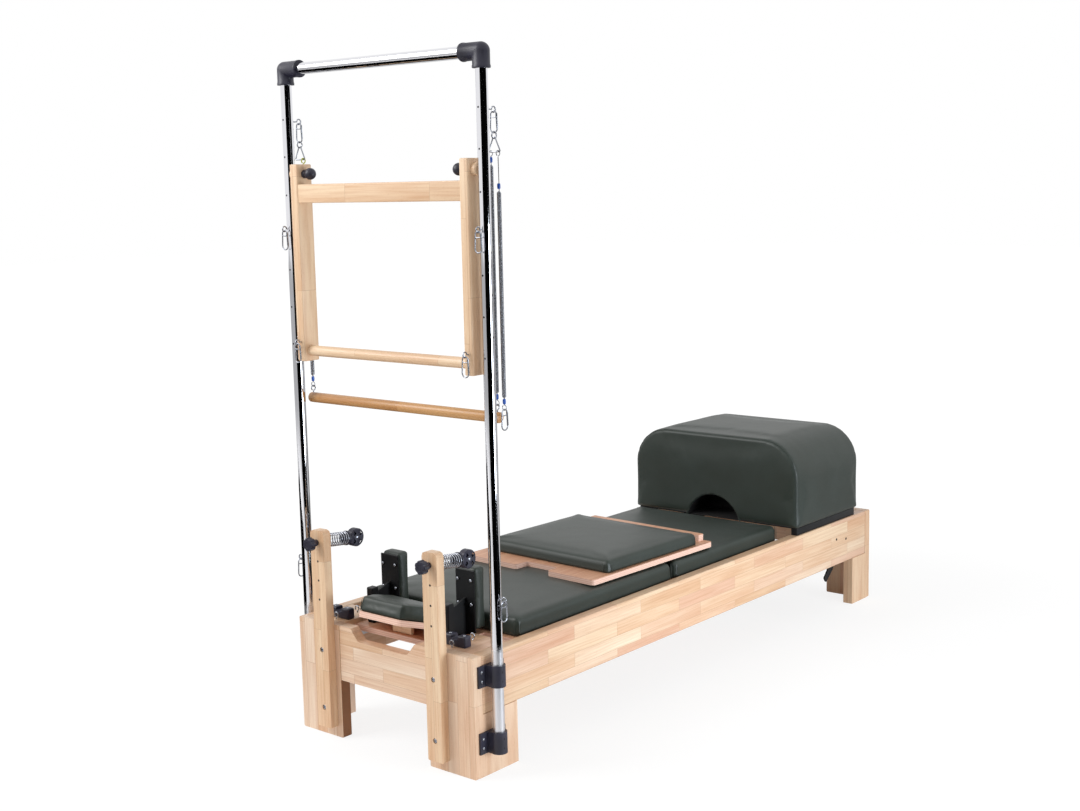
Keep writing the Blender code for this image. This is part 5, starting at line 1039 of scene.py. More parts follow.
def long_spring(name, x, top_z, length, link):
    """Close-wound spring as one wire, ring to ring."""
    start = Vector((x, HANG_Y, top_z))
    seat = start + DOWN * (2 * SPRING_RING + SPRING_NECK)
    coil_top = seat + DOWN * (link + FERRULE_LENGTH / 2)
    foot_seat = start + DOWN * (length - 2 * SPRING_RING - SPRING_NECK)
    coil_foot = foot_seat - DOWN * FERRULE_LENGTH
    reach = SPRING_RADIUS - SPRING_WIRE
    depth = coil_top.z - coil_foot.z
    total = int(depth / (2.02 * SPRING_WIRE)) * COIL_STEPS
    coil = []
    for i in range(total + 1):
        angle = 2 * math.pi * i / COIL_STEPS
        taper = min(1.0, 0.2 + min(i, total - i) / (2 * COIL_STEPS))
        coil.append(coil_top + DOWN * depth * i / total
                    + Vector((math.cos(angle), math.sin(angle), 0)) * reach * taper)
    upper = ring_points(seat, -DOWN, Vector((0, 1, 0)))[::-1]
    lower = ring_points(foot_seat, DOWN, Vector((1, 0, 0)))
    print(name, total // COIL_STEPS, "turns")
    return wire(name, upper + coil + lower, SPRING_WIRE, sides=6)


def ferrule(name, x, low):
    """Dipped sleeve that closes the spring's end."""
    r, tall = FERRULE_RADIUS, FERRULE_LENGTH
    return turn(name, [(r * 0.6, 0.0), (r, 0.002), (r * 1.08, tall / 2), (r, tall - 0.002), (r * 0.6, tall)],
                (x, HANG_Y, low), "Z", 24)


print("a turn every", round(2.02 * SPRING_WIRE * 1000, 2), "mm")

# %% [markdown]
# A rigid coil couldn't follow the bar down. The two springs that carry the bar ride on no body,
# and their place is applied into their mesh. A dipped sleeve closes each end: blue, but lime at the
# upper end of the left one. The sleeves ride on whichever body their end belongs to.

# %% Long springs
SPRING_X, DROP_X = 0.391, 0.418
LONG_LENGTH, LONG_LINK = 0.7163, 0.012
DROP_LENGTH, DROP_LINK = 0.7277, 0.085
UPPER_SLEEVE_DROP = 0.021
LOWER_SLEEVE_RISE = 0.017

spring_top = foot_z + HOOK_WIRE + SPRING_WIRE + 0.0003
for side, name in SIDES:
    spring = long_spring(f"long_spring_{name}", side * SPRING_X, spring_top, LONG_LENGTH, LONG_LINK)
    dress(spring, SPRING_STEEL, None, f"roll_down_spring_{name}")
    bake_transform(spring)
    sleeve = ferrule(f"spring_sleeve_top_{name}", side * SPRING_X,
                     spring_top - UPPER_SLEEVE_DROP - LONG_LINK)
    dress(sleeve, LIME_SLEEVE if side < 0 else BLUE_SLEEVE, "roll_down_springs")
    if side < 0:
        seat = Vector((side * SPRING_X, HANG_Y, spring_top - 2 * SPRING_RING - SPRING_NECK))
        loop = wire("lime_loop", ring_points(seat, -DOWN, Vector((0, 1, 0))), SPRING_WIRE + 0.0006, sides=10)
        dress(loop, LIME_SLEEVE, "roll_down_springs")
    sleeve = ferrule(f"spring_sleeve_foot_{name}", side * SPRING_X,
                     spring_top - LONG_LENGTH + LOWER_SLEEVE_RISE)
    dress(sleeve, BLUE_SLEEVE, "roll_down_bar")
drop = long_spring("free_spring", DROP_X, spring_top, DROP_LENGTH, DROP_LINK)
dress(drop, SPRING_STEEL, "drop_spring", "drop_spring")
sleeve = ferrule("free_spring_sleeve_top", DROP_X, spring_top - UPPER_SLEEVE_DROP - DROP_LINK)
dress(sleeve, BLUE_SLEEVE, "drop_spring")
drop_foot = spring_top - DROP_LENGTH
sleeve = ferrule("free_spring_sleeve_foot", DROP_X, drop_foot + LOWER_SLEEVE_RISE)
dress(sleeve, BLUE_SLEEVE, "drop_spring")
top = Vector((DROP_X, HANG_Y, drop_foot + HOOK_WIRE + SPRING_WIRE - 0.0006))
dress(hang_hook("free_spring_snap", top, True), ZINC, "drop_spring")
bpy.data.objects.remove(HOOK, do_unlink=True)
print("long springs", LONG_LENGTH * 1000, "mm, free spring", DROP_LENGTH * 1000, "mm")

# %% [markdown]
# The roll-down bar is a dowel of a darker wood, its ends rounded over so that they don't catch
# a hand. A cylinder with bevelled ends would do as well; here it is turned in one go from a
# profile that is mirrored about its middle. Its two screw eyes carry the springs' lower rings.

# %% Roll-down bar
BAR_RADIUS = 0.016
bar_low, bar_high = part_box("roll_down_bar")
bar_half, bar_z = bar_high.x, bar_low.z + BAR_RADIUS
end = [(BAR_RADIUS - 0.004, -bar_half), (BAR_RADIUS - 0.0012, 0.0012 - bar_half),
       (BAR_RADIUS, 0.004 - bar_half)]
profile = end + [(r, -h) for r, h in reversed(end)]
bar = turn("roll_down_dowel", profile, (0, HANG_Y, bar_z), "X", 48)
dress(bar, BEECH_BAR, "roll_down_bar", "roll_down_bar")
for side, name in SIDES:
    eye = screw_eye(f"bar_eye_{name}", (side * SPRING_X, HANG_Y, bar_z + BAR_RADIUS), (0, 0, 1), (0, 1, 0))
    dress(eye, ZINC, "roll_down_bar")
print("roll-down bar at", round(bar_z, 3), "m")

# %% [markdown]
# Each riser carries a clamp knob in front. Its grip could be drawn as a lobed curve, but it is made here
# as it would be milled: a disc, then seven round notches cut in its rim, and a waisted stem behind.

# %% Clamp knobs
SHAFT_Z = 0.630
KNOB_FRONT_Y = -1.235
KNOB_DEPTH = 0.020
LOBED_RADIUS = 0.021
LOBES = 7
NOTCH_RADIUS = 0.0070
NOTCH_REACH = 0.0245


def lobed_knob(name, x):
    """Knob that clamps the pulley's shaft to its riser."""
    centre = Vector((x, KNOB_FRONT_Y, SHAFT_Z))
    disc = [(LOBED_RADIUS * 0.45, 0.0015), (LOBED_RADIUS * 0.50, 0.0), (LOBED_RADIUS - 0.002, 0.0),
            (LOBED_RADIUS, 0.002), (LOBED_RADIUS, KNOB_DEPTH - 0.002), (LOBED_RADIUS - 0.002, KNOB_DEPTH)]
    knob = turn(name, disc, centre, "Y", 84)
    notches = []
    for i in range(LOBES):
        angle = 2 * math.pi * (i + 0.5) / LOBES
        spot = centre + Vector((math.cos(angle), 0, math.sin(angle))) * NOTCH_REACH
        notches.append(turn("notch", [(NOTCH_RADIUS, -0.01), (NOTCH_RADIUS, 0.03)], spot, "Y", 24))
    boolean(knob, join("notches", *notches))
    round_edges(knob, 0.0010, 3, 40)
    stem = [(0.0125, 0.0), (0.0105, 0.006), (0.0100, 0.0188)]
    return join(name, knob, turn("stem", stem, centre + Vector((0, KNOB_DEPTH - 0.001, 0)), "Y", 32))


for side, name in SIDES:
    knob = lobed_knob(f"clamp_knob_{name}", side * RISER_X)
    dress(knob, NYLON, f"{name}_riser_knob", f"riser_knob_{name}")
print("knobs with", LOBES, "notches at", SHAFT_Z, "m")

# %% [markdown]
# Behind each riser a stiff spring carries the pulley block, a windowed nylon disc that is slotted
# for its wheel. The block starts as a disc and a turned horn; windows and slot are cut with
# Boolean tools, as a mould's cores leave them. The wheel's groove is part of its turned profile.

# %% Pulley spring, block and wheel
DROOP = math.radians(6.0)
COIL_RADIUS = 0.020
COIL_WIRE = 0.0017
COIL_TURNS = 10
COIL_STEPS_PER_TURN = 20
COIL_LENGTH = 0.088
BLOCK_RADIUS = 0.029
BLOCK_HALF_WIDTH = 0.013
WHEEL_HALF_WIDTH = 0.007
SHEAVE_RADIUS = 0.024
WINDOW_RADIUS = 0.0072
WINDOW_REACH = 0.0165


def stiff_spring(name, root):
    """Coil from the riser's back to the pulley block, level, with both ends wound flat."""
    total = COIL_TURNS * COIL_STEPS_PER_TURN
    points = []
    low = COIL_RADIUS * math.tan(DROOP) + 0.002
    for i in range(total + 1):
        turned = i / COIL_STEPS_PER_TURN
        angle = 2 * math.pi * turned
        share = min(1.0, max(0.0, (turned - 0.75) / (COIL_TURNS - 1.5)))
        y = low + (COIL_LENGTH - 0.003 - low) * share
        points.append(root + Vector((math.sin(angle) * COIL_RADIUS, y, -math.cos(angle) * COIL_RADIUS)))
    return wire(name, points, COIL_WIRE, sides=8)


def pulley_housing(name, centre, neck):
    """Windowed disc on a waisted neck, slotted for the wheel."""
    disc = [(BLOCK_RADIUS - 0.003, -BLOCK_HALF_WIDTH), (BLOCK_RADIUS, 0.003 - BLOCK_HALF_WIDTH),
            (BLOCK_RADIUS, BLOCK_HALF_WIDTH - 0.003), (BLOCK_RADIUS - 0.003, BLOCK_HALF_WIDTH)]
    housing = turn(name, disc, centre, "X", 64)
    waist = [(0.0228, 0.0), (0.0232, 0.001), (0.0232, 0.005), (0.0150, 0.007), (0.0125, 0.011),
             (0.0145, 0.018), (0.0190, 0.026), (0.0200, 0.034)]
    horn = turn("horn", waist, neck, "Y", 48)
    activate(horn)
    bpy.ops.object.mode_set(mode="EDIT")
    choose("VERT", lambda middle, item: middle.y > neck.y + 0.006)
    bpy.ops.transform.resize(value=(0.63, 1.0, 1.0), center_override=neck)
    bpy.ops.object.mode_set(mode="OBJECT")
    boolean(housing, horn, "UNION")
    windows = []
    for k in range(4):
        angle = math.radians(45 + 90 * k)
        spot = centre + Vector((-0.02, math.cos(angle) * WINDOW_REACH, math.sin(angle) * WINDOW_REACH))
        window = turn("window", [(WINDOW_RADIUS, 0.0), (WINDOW_RADIUS, 0.04)], spot, "X", 4)
        activate(window)
        bpy.ops.object.mode_set(mode="EDIT")
        choose("VERT", lambda middle, item: (middle - centre).yz.length > 0.019)
        bpy.ops.transform.resize(value=(1.0, 1.12, 1.12), center_override=centre)
        bpy.ops.object.mode_set(mode="OBJECT")
        windows.append(window)
    boolean(housing, join("windows", *windows))
    reach = SHEAVE_RADIUS + 0.0015
    half = WHEEL_HALF_WIDTH + 0.001
    boolean(housing, turn("slot", [(reach, -half), (reach, half)], centre, "X", 48))
    mouth_low, mouth_high = centre + Vector((-half, 0.004, -reach)), centre + Vector((half, 0.06, reach))
    boolean(housing, block("mouth", mouth_low, mouth_high, 0.0001, 1))
    return round_edges(housing, 0.0008, 2, 45)


def pulley_wheel(name, centre):
    """Rope wheel with a round groove and a bore for its pin."""
    rim, half = SHEAVE_RADIUS, WHEEL_HALF_WIDTH
    profile = [(0.0043, half), (rim - 0.0006, half), (rim, half - 0.0008), (rim - 0.0022, half - 0.0024)]
    for i in range(7):
        angle = math.radians(-75 + 25 * i)
        profile.append((rim - 0.0060 + 0.0035 * (1 - math.cos(angle)), -math.sin(angle) * 0.0042))
    profile += [(rim - 0.0022, 0.0024 - half), (rim, 0.0008 - half), (rim - 0.0006, -half), (0.0043, -half),
                (0.0043, half)]
    return turn(name, profile, centre, "X", 48, bore=True)


print("coil", COIL_TURNS, "turns, wheel", SHEAVE_RADIUS * 2000, "mm across")

# %% [markdown]
# The spring droops six degrees under the pulley's weight. Tipping each part by itself would need six
# sums, so spring, block, wheel and pin are made level and then tipped about the shaft together.

# %% Fit the pulleys
END_RIVET = ((0.0030, 0.0), (0.0046, 0.0006), (0.0046, 0.0020), (0.0040, 0.0022))

for side, name in SIDES:
    root = Vector((side * RISER_X, HEAD_Y, SHAFT_Z))
    tip = Matrix.Translation(root) @ Matrix.Rotation(-DROOP, 4, "X") @ Matrix.Translation(-root)
    neck = root + Vector((0, COIL_LENGTH, 0))
    centre = neck + Vector((0, 0.012 + BLOCK_RADIUS, 0))
    coil = stiff_spring(f"stiff_spring_{name}", root)
    housing = pulley_housing(f"pulley_housing_{name}", centre, neck)
    wheel = pulley_wheel(f"rope_wheel_{name}", centre)
    end = BLOCK_HALF_WIDTH + 0.0014
    rivet = [(r, h - end) for r, h in END_RIVET]
    pin = turn(f"pulley_pin_{name}", rivet + [(r, -h) for r, h in reversed(rivet)], centre, "X", 24)
    for piece in (coil, housing, wheel, pin):
        piece.data.transform(tip)
    dress(coil, ZINC, f"{name}_pulley_block", f"riser_spring_{name}")
    dress(housing, NYLON, f"{name}_pulley_block", f"pulley_block_{name}")
    dress(pin, ZINC, f"{name}_pulley_block")
    dress(wheel, NYLON, f"{name}_pulley_wheel", f"pulley_wheel_{name}")
print("riser springs", COIL_TURNS, "turns over", COIL_LENGTH * 1000, "mm")

# %% [markdown]
# The carriage is a plywood panel with a narrower tongue at the head end. It is one sheet cut to shape, so
# panel and tongue are joined by a Boolean union and no line shows between them. Under it four nylon blocks
# hold two axles with their wheels.

# %% Carriage base
PLY_LOW, PLY_HIGH = 0.3353, 0.3533
PANEL_HALF = 0.325
TONGUE_HALF = 0.198
PANEL_HEAD_Y, PANEL_FOOT_Y = -0.919, -0.082
TONGUE_HEAD_Y = -1.091
AXLE_Y = (-0.835, -0.120)
AXLE_Z = 0.3073
AXLE_BLOCK_X, AXLE_BLOCK_LOW = 0.279, 0.2945
AXLE_BLOCK_HALF_X, AXLE_BLOCK_HALF_Y = 0.013, 0.018
KNUCKLE_PLACE = Vector((0.110, -0.979, 0.3600))
KNUCKLE_RADIUS, KNUCKLE_HALF = 0.0038, 0.025
WHEEL_X = 0.310
WHEEL_RADIUS = 0.022
WHEEL_HALF = 0.007

panel = block("carriage_board", (-PANEL_HALF, PANEL_HEAD_Y, PLY_LOW), (PANEL_HALF, PANEL_FOOT_Y, PLY_HIGH),
              0.0001, 1)
tongue = block("tongue", (-TONGUE_HALF, TONGUE_HEAD_Y, PLY_LOW),
               (TONGUE_HALF, PANEL_HEAD_Y + 0.01, PLY_HIGH), 0.0001, 1)
round_edges(boolean(panel, tongue, "UNION"), 0.0015, 3)
dress(panel, PLYWOOD, "carriage", "carriage_base")
for i, y in enumerate(AXLE_Y):
    for side, name in SIDES:
        x = side * AXLE_BLOCK_X
        holder = block(f"axle_block_{name}_{i}",
                       (x - AXLE_BLOCK_HALF_X, y - AXLE_BLOCK_HALF_Y, AXLE_BLOCK_LOW),
                       (x + AXLE_BLOCK_HALF_X, y + AXLE_BLOCK_HALF_Y, PLY_LOW), 0.0020)
        dress(holder, NYLON, "carriage")
for side, name in SIDES:
    place = (side * KNUCKLE_PLACE.x, KNUCKLE_PLACE.y, KNUCKLE_PLACE.z)
    profile = [(KNUCKLE_RADIUS, -KNUCKLE_HALF), (KNUCKLE_RADIUS, KNUCKLE_HALF)]
    knuckle = turn(f"hinge_knuckle_{name}", profile, place, "X", 20)
    dress(knuckle, SPRING_STEEL, "carriage")
print("carriage board", round(2 * PANEL_HALF, 3), "by", round(PANEL_FOOT_Y - TONGUE_HEAD_Y, 3), "m")

# %% [markdown]
# The wheels are nylon, with a shallow recess between hub and rim, and run on the aluminium tracks
# inside the rails. A wheel is turned from a profile that is mirrored about its middle. Each pair
# rides on its axle's body and not on the carriage, because it rolls while the carriage slides.

# %% Wheels
for word, y in zip(("head", "foot"), AXLE_Y):
    axle = turn(f"axle_{word}", [(0.005, -WHEEL_X), (0.005, WHEEL_X)], (0, y, AXLE_Z), "X", 24)
    dress(axle, SPRING_STEEL, f"{word}_wheelset", f"wheelset_{word}")
    for side, name in SIDES:
        tread = [(0.0115, WHEEL_HALF), (0.0125, WHEEL_HALF - 0.001),
                 (WHEEL_RADIUS - 0.004, WHEEL_HALF - 0.001), (WHEEL_RADIUS - 0.001, WHEEL_HALF),
                 (WHEEL_RADIUS, WHEEL_HALF - 0.002)]
        profile = tread + [(r, -h) for r, h in reversed(tread)]
        wheel = turn(f"track_wheel_{word}_{name}", profile, (side * WHEEL_X, y, AXLE_Z), "X", 40)
        dress(wheel, NYLON, f"{word}_wheelset")
print("wheels", 2 * len(AXLE_Y), "on the track at", round(AXLE_Z - WHEEL_RADIUS, 4), "m")

# %% [markdown]
# Five springs lie stowed between two steel rails under the panel. Nothing pulls them, so they stay rigid,
# and they are seen from below only: one is wound and the rest are copies.

# %% Stowed springs and their rails
RACK_HALF = 0.23
RACK_LOW, RACK_HIGH = 0.3007, 0.3347
RACK_RAILS = ((-0.685, -0.665), (-0.175, -0.155))
STOWED_X = (-0.2, -0.1, 0.0, 0.1, 0.2)
STOWED_Z = 0.3177
STOWED_RADIUS = 0.0088
STOWED_WIRE = 0.0014
STOWED_STEPS = 10

for i, (near, far) in enumerate(RACK_RAILS):
    rail = block(f"spring_rail_{i}", (-RACK_HALF, near, RACK_LOW), (RACK_HALF, far, RACK_HIGH), 0.0015)
    nodes = ("spring_rack",) if i == 0 else ()
    dress(rail, POWDER_COAT, "carriage", *nodes)
near, far = RACK_RAILS[0][1] - 0.004, RACK_RAILS[1][0] + 0.004
turns = int((far - near) / (2.1 * STOWED_WIRE))
total = turns * STOWED_STEPS
reach = STOWED_RADIUS - STOWED_WIRE
points = []
for k in range(total + 1):
    angle = 2 * math.pi * k / STOWED_STEPS
    points.append((STOWED_X[0] + reach * math.cos(angle), near + (far - near) * k / total,
                   STOWED_Z + reach * math.sin(angle)))
first = wire("stowed_spring_0", points, STOWED_WIRE, sides=6)
stowed = [first] + [copy_of(first, f"stowed_spring_{i}", Matrix.Translation((x - STOWED_X[0], 0, 0)))
                    for i, x in enumerate(STOWED_X) if i > 0]
for spring in stowed:
    dress(spring, SPRING_STEEL, "carriage")
print("stowed springs", len(stowed), "of", turns, "turns")

# %% [markdown]
# The footbar lies folded under the sitting box: a bent tube with a hub at each foot and a foam grip. A
# spin would need one step for each bend. A bend is also a chain of points on a quarter circle, so the
# wire helper makes the whole tube in one piece.

# %% Footbar
FOOTBAR_X = 0.298
FOOTBAR_PIVOT_Y = 1.0
FOOTBAR_Z = 0.290
FOOTBAR_TIP_Y = 0.690
FOOTBAR_BEND = 0.050
BEND_STEPS = 12
FOOTBAR_TUBE = 0.0125
HUB_RADIUS = 0.018
HUB_HALF = 0.013
HUB_BORE = 0.0088
GRIP_HALF = 0.2
GRIP_RADIUS = 0.0188
GRIP_BORE = 0.0128

half = [Vector((FOOTBAR_X, FOOTBAR_PIVOT_Y - 0.016, FOOTBAR_Z))]
centre = Vector((FOOTBAR_X - FOOTBAR_BEND, FOOTBAR_TIP_Y + FOOTBAR_BEND, FOOTBAR_Z))
for i in range(BEND_STEPS + 1):
    angle = math.radians(-90 * i / BEND_STEPS)
    half.append(centre + Vector((math.cos(angle), math.sin(angle), 0)) * FOOTBAR_BEND)
whole = half + [Vector((-p.x, p.y, p.z)) for p in reversed(half)]
bar = wire("footbar_tube", whole, FOOTBAR_TUBE, sides=20)
dress(bar, POWDER_COAT, "footbar", "footbar")
for side, name in SIDES:
    ring = [(HUB_BORE, HUB_HALF), (HUB_RADIUS - 0.0015, HUB_HALF), (HUB_RADIUS, HUB_HALF - 0.0015),
            (HUB_RADIUS, 0.0015 - HUB_HALF), (HUB_RADIUS - 0.0015, -HUB_HALF), (HUB_BORE, -HUB_HALF),
            (HUB_BORE, HUB_HALF)]
    hub = turn(f"footbar_hub_{name}", ring, (side * FOOTBAR_X, FOOTBAR_PIVOT_Y, FOOTBAR_Z), "X", 40,
               bore=True)
    dress(hub, POWDER_COAT, "footbar")
profile = [(GRIP_BORE, GRIP_HALF), (GRIP_RADIUS - 0.003, GRIP_HALF), (GRIP_RADIUS, GRIP_HALF - 0.003),
           (GRIP_RADIUS, 0.003 - GRIP_HALF), (GRIP_RADIUS - 0.003, -GRIP_HALF), (GRIP_BORE, -GRIP_HALF),
           (GRIP_BORE, GRIP_HALF)]
grip = turn("footbar_foam", profile, (0, FOOTBAR_TIP_Y, FOOTBAR_Z), "X", 40, bore=True)
dress(grip, FOAM, "footbar", "footbar_grip")
print("footbar folded at", FOOTBAR_Z, "m")

# %% [markdown]
# A cushion is foam glued to its board under stretched leatherette. It could be a rounded box, but it
# would look like one, so the foam is blown up a little inside its skin. Each block starts a little
# smaller than its cushion, is remeshed into even faces, and has the points at its foot named as held.

# %% Foam blocks
def even_skin(piece, voxel):
    """Remesh into faces of one size."""
    activate(piece)
    modifier = piece.modifiers.new("even", "REMESH")
    modifier.mode = "VOXEL"
    modifier.voxel_size = voxel
    bpy.ops.object.modifier_apply(modifier=modifier.name)


def hold_foot(piece, height):
    """Name the points below a height as held."""
    held = [vertex.index for vertex in piece.data.vertices if vertex.co.z < height]
    piece.vertex_groups.new(name="held").add(held, 1.0, "ADD")


def foam_block(name, low, high, voxel, soft=0.012, inset=0.003, drop=0.004, shape=None):
    """Rounded block a little smaller than the cushion, its foot square on the board."""
    low, high = Vector(low), Vector(high)
    start = (low.x + inset, low.y + inset, low.z - 0.02)
    piece = block(name, start, (high.x - inset, high.y - inset, high.z - drop), soft, 5)
    if shape:
        shape(piece)
    cut = block("below", (low.x - 0.1, low.y - 0.1, low.z - 0.1), (high.x + 0.1, high.y + 0.1, low.z),
                0.0001, 1)
    boolean(piece, cut)
    even_skin(piece, voxel)
    hold_foot(piece, low.z + voxel * 0.8)
    return piece


print("block and skin helpers ready")

# %% [markdown]
# Six cushions are cut from such blocks: the carriage's, the filler mat's, the jump board's, the headrest's
# with its two corners cut away, and the two shoulder pads. A finer skin goes on the smaller ones.

# %% Cut the foam blocks
PAD_HIGH = 0.420
PAD_GAP = 0.0012
PAD_SKIN, JUMP_SKIN, HEADREST_SKIN, SHOULDER_SKIN = 0.010, 0.008, 0.005, 0.0045
HEADREST_HINGE = Vector((0.0, -0.979, 0.3625))
HEADREST_LOW, HEADREST_TOP = 0.3813, 0.4313
HEADREST_HEAD_Y, HEADREST_FOOT_Y = -1.184, -1.003
HEADREST_HALF, HEADREST_NARROW = 0.138, 0.088
HEADREST_TAPER = 0.085
JUMP_MIDDLE = Vector((0.0155, -0.147, 0.0))
JUMP_HALF_X, JUMP_HALF_Y = 0.282, 0.255
JUMP_LOW, JUMP_TOP = 0.4386, 0.4870
JUMP_TURN = math.radians(-2.0)
JUMP_TURN_MIDDLE = Vector((0.0155, -0.156, 0.0))


def taper_headrest(piece):
    """Cut the two head corners of the headrest away."""
    lean = math.atan2(HEADREST_HALF - HEADREST_NARROW, HEADREST_TAPER)
    for side, name in SIDES:
        corner = Vector((side * HEADREST_HALF, HEADREST_HEAD_Y + HEADREST_TAPER, HEADREST_LOW - 0.05))
        wedge = block("wedge", (0, -0.3, 0), (0.2, 0.1, 0.2), 0.0001, 1)
        wedge.data.transform(Matrix.Translation((-0.003, 0, 0)))
        if side < 0:
            wedge.data.transform(MIRROR_X)
            wedge.data.flip_normals()
        wedge.data.transform(Matrix.Translation(corner) @ Matrix.Rotation(side * -lean, 4, "Z"))
        boolean(piece, wedge)
    round_edges(piece, 0.006, 3, 30)


cushions = {}
carriage_low, carriage_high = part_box("carriage_pad")
filler_low, filler_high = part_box("filler_pad")
jump_low = (JUMP_MIDDLE.x - JUMP_HALF_X, JUMP_MIDDLE.y - JUMP_HALF_Y, JUMP_LOW)
jump_high = (JUMP_MIDDLE.x + JUMP_HALF_X, JUMP_MIDDLE.y + JUMP_HALF_Y, JUMP_TOP)
high = (carriage_high.x, carriage_high.y - PAD_GAP, PAD_HIGH)
cushions["carriage_cushion"] = foam_block("carriage_cushion", carriage_low, high, PAD_SKIN, soft=0.018)
low = (filler_low.x, filler_low.y + PAD_GAP, filler_low.z)
high = (filler_high.x, filler_high.y, PAD_HIGH)
cushions["filler_cushion"] = foam_block("filler_cushion", low, high, PAD_SKIN, soft=0.018)
cushions["jump_cushion"] = foam_block("jump_cushion", jump_low, jump_high, JUMP_SKIN, soft=0.018)
low = (-HEADREST_HALF, HEADREST_HEAD_Y, HEADREST_LOW)
high = (HEADREST_HALF, HEADREST_FOOT_Y, HEADREST_TOP)
cushions["headrest_cushion"] = foam_block("headrest_cushion", low, high, HEADREST_SKIN, soft=0.010,
                                          inset=0.002, drop=0.003, shape=taper_headrest)
for side, name in SIDES:
    low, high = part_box(f"shoulder_pad_{name}")
    cushions[f"shoulder_cushion_{name}"] = foam_block(f"shoulder_cushion_{name}", low, high, SHOULDER_SKIN,
                                                      soft=0.009, inset=0.002, drop=0.003)
print("foam blocks", len(cushions))

# %% [markdown]
# The sitting box is upholstered all round, with its two long top edges
# rounded far. A cube's edges are picked by their place and bevelled in
# two goes, first the far rounding and then the softer rims of both faces.

# %% Sitting box body
BOX_LOW, BOX_HIGH = 0.3933, 0.7333
BOX_HALF = 0.38
BOX_HEAD_Y, BOX_FOOT_Y = 0.647, 1.137
BOX_CORNER = 0.150
BOX_RIM = 0.011
BOX_INSET = 0.003


def sitting_box_body():
    """Upholstered body, a little smaller than its blown-up skin."""
    rest()
    middle = (0, (BOX_HEAD_Y + BOX_FOOT_Y) / 2, (BOX_LOW + BOX_HIGH) / 2)
    sizes = (2 * (BOX_HALF - BOX_INSET), BOX_FOOT_Y - BOX_HEAD_Y - 2 * BOX_INSET,
             BOX_HIGH - BOX_LOW - BOX_INSET)
    bpy.ops.mesh.primitive_cube_add(size=1.0, location=middle, scale=sizes)
    bpy.ops.object.transform_apply(location=True, rotation=True, scale=True)
    bpy.ops.object.mode_set(mode="EDIT")
    choose("EDGE", lambda spot, item: spot.z > middle[2] + 0.1 and abs(spot.x) > 0.2)
    bpy.ops.mesh.bevel(offset=BOX_CORNER, segments=20, affect="EDGES")
    choose("EDGE", lambda spot, item: abs(spot.y - middle[1]) > 0.2)
    bpy.ops.mesh.bevel(offset=BOX_RIM, segments=4, affect="EDGES")
    bpy.ops.object.mode_set(mode="OBJECT")
    piece = finish_piece("sitting_box_skin")
    even_skin(piece, PAD_SKIN)
    hold_foot(piece, BOX_LOW + PAD_SKIN)
    return piece


cushions["sitting_box_skin"] = sitting_box_body()
print("with the box", len(cushions), "faces", sum(len(piece.data.polygons) for piece in cushions.values()))

# %% [markdown]
# A cloth solver blows all seven skins up in the same twenty frames, lying flat: they bulge most where
# nothing holds them and pull in at the corners. How far a point may go is capped, so that every cushion
# stays inside its real size. The shapes that come out are copied into the meshes, and no modifier is left.

# %% Inflate the cushions
FRAMES = 20
PRESSURE = 4.0
CAPS = {"carriage_cushion": 0.0055, "filler_cushion": 0.0055, "jump_cushion": 0.0060,
        "headrest_cushion": 0.0040, "shoulder_cushion_left": 0.0032, "shoulder_cushion_right": 0.0032,
        "sitting_box_skin": 0.0045}


def inflate(pieces):
    """Blow the skins up together and keep each point's way under its cap."""
    for piece in pieces.values():
        cloth = piece.modifiers.new("skin", "CLOTH")
        cloth.settings.quality = 4
        cloth.settings.mass = 0.4
        cloth.settings.tension_stiffness = 12
        cloth.settings.compression_stiffness = 12
        cloth.settings.bending_stiffness = 1.0
        cloth.settings.vertex_group_mass = "held"
        cloth.settings.use_pressure = True
        cloth.settings.uniform_pressure_force = PRESSURE
        cloth.settings.effector_weights.gravity = 0.0
        cloth.collision_settings.use_collision = False
        cloth.point_cache.frame_start = 1
        cloth.point_cache.frame_end = FRAMES
    scene = bpy.context.scene
    for frame_number in range(1, FRAMES + 1):
        scene.frame_set(frame_number)
    depsgraph = bpy.context.evaluated_depsgraph_get()
    for name, piece in pieces.items():
        blown = piece.evaluated_get(depsgraph).data
        ways = [after.co - before.co for before, after in zip(piece.data.vertices, blown.vertices)]
        cap = CAPS[name]
        print(name, "moved up to", round(max(way.length for way in ways) * 1000, 1), "mm, capped at",
              cap * 1000)
        for vertex, way in zip(piece.data.vertices, ways):
            vertex.co += way * (cap / (cap + way.length))
        piece.modifiers.remove(piece.modifiers["skin"])
    scene.frame_set(1)


inflate(cushions)
for piece in cushions.values():
    activate(piece)
    finer = piece.modifiers.new("finer", "SUBSURF")
    finer.levels = 1
    finer.render_levels = 1
    bpy.ops.object.modifier_apply(modifier=finer.name)
    bpy.ops.object.shade_smooth()
print("skins smoothed to", sum(len(piece.data.polygons) for piece in cushions.values()), "faces")

# %% [markdown]
# A flat sheet of leatherette has to lose its extra cloth at each corner, so it is folded over and stapled:
# the fold shows as an upright pleat. Each pleat is a slim ridge from the board to just under the top edge.
# The sitting box has a sewn welt round both of its faces instead, where the long strip meets them.
# The welt's line is laid on the nearest point of the blown skin, so that it never floats or sinks.

# %% Pleats and welts
PLEAT = 0.0010
WELT = 0.0011
WELT_INSET = 0.004
WELT_STEPS = 16


def pleats(name, corners, low, high):
    """Upright ridges at places on the sides of a cushion, with soft ends."""
    folds = []
    for i, (x, y) in enumerate(corners):
        profile = [(PLEAT * 0.5, low), (PLEAT, low + 0.004), (PLEAT, high - 0.010), (PLEAT * 0.3, high)]
        folds.append(turn(f"{name}_{i}", profile, (x, y, 0), "Z", 10))
    return join(name, *folds)


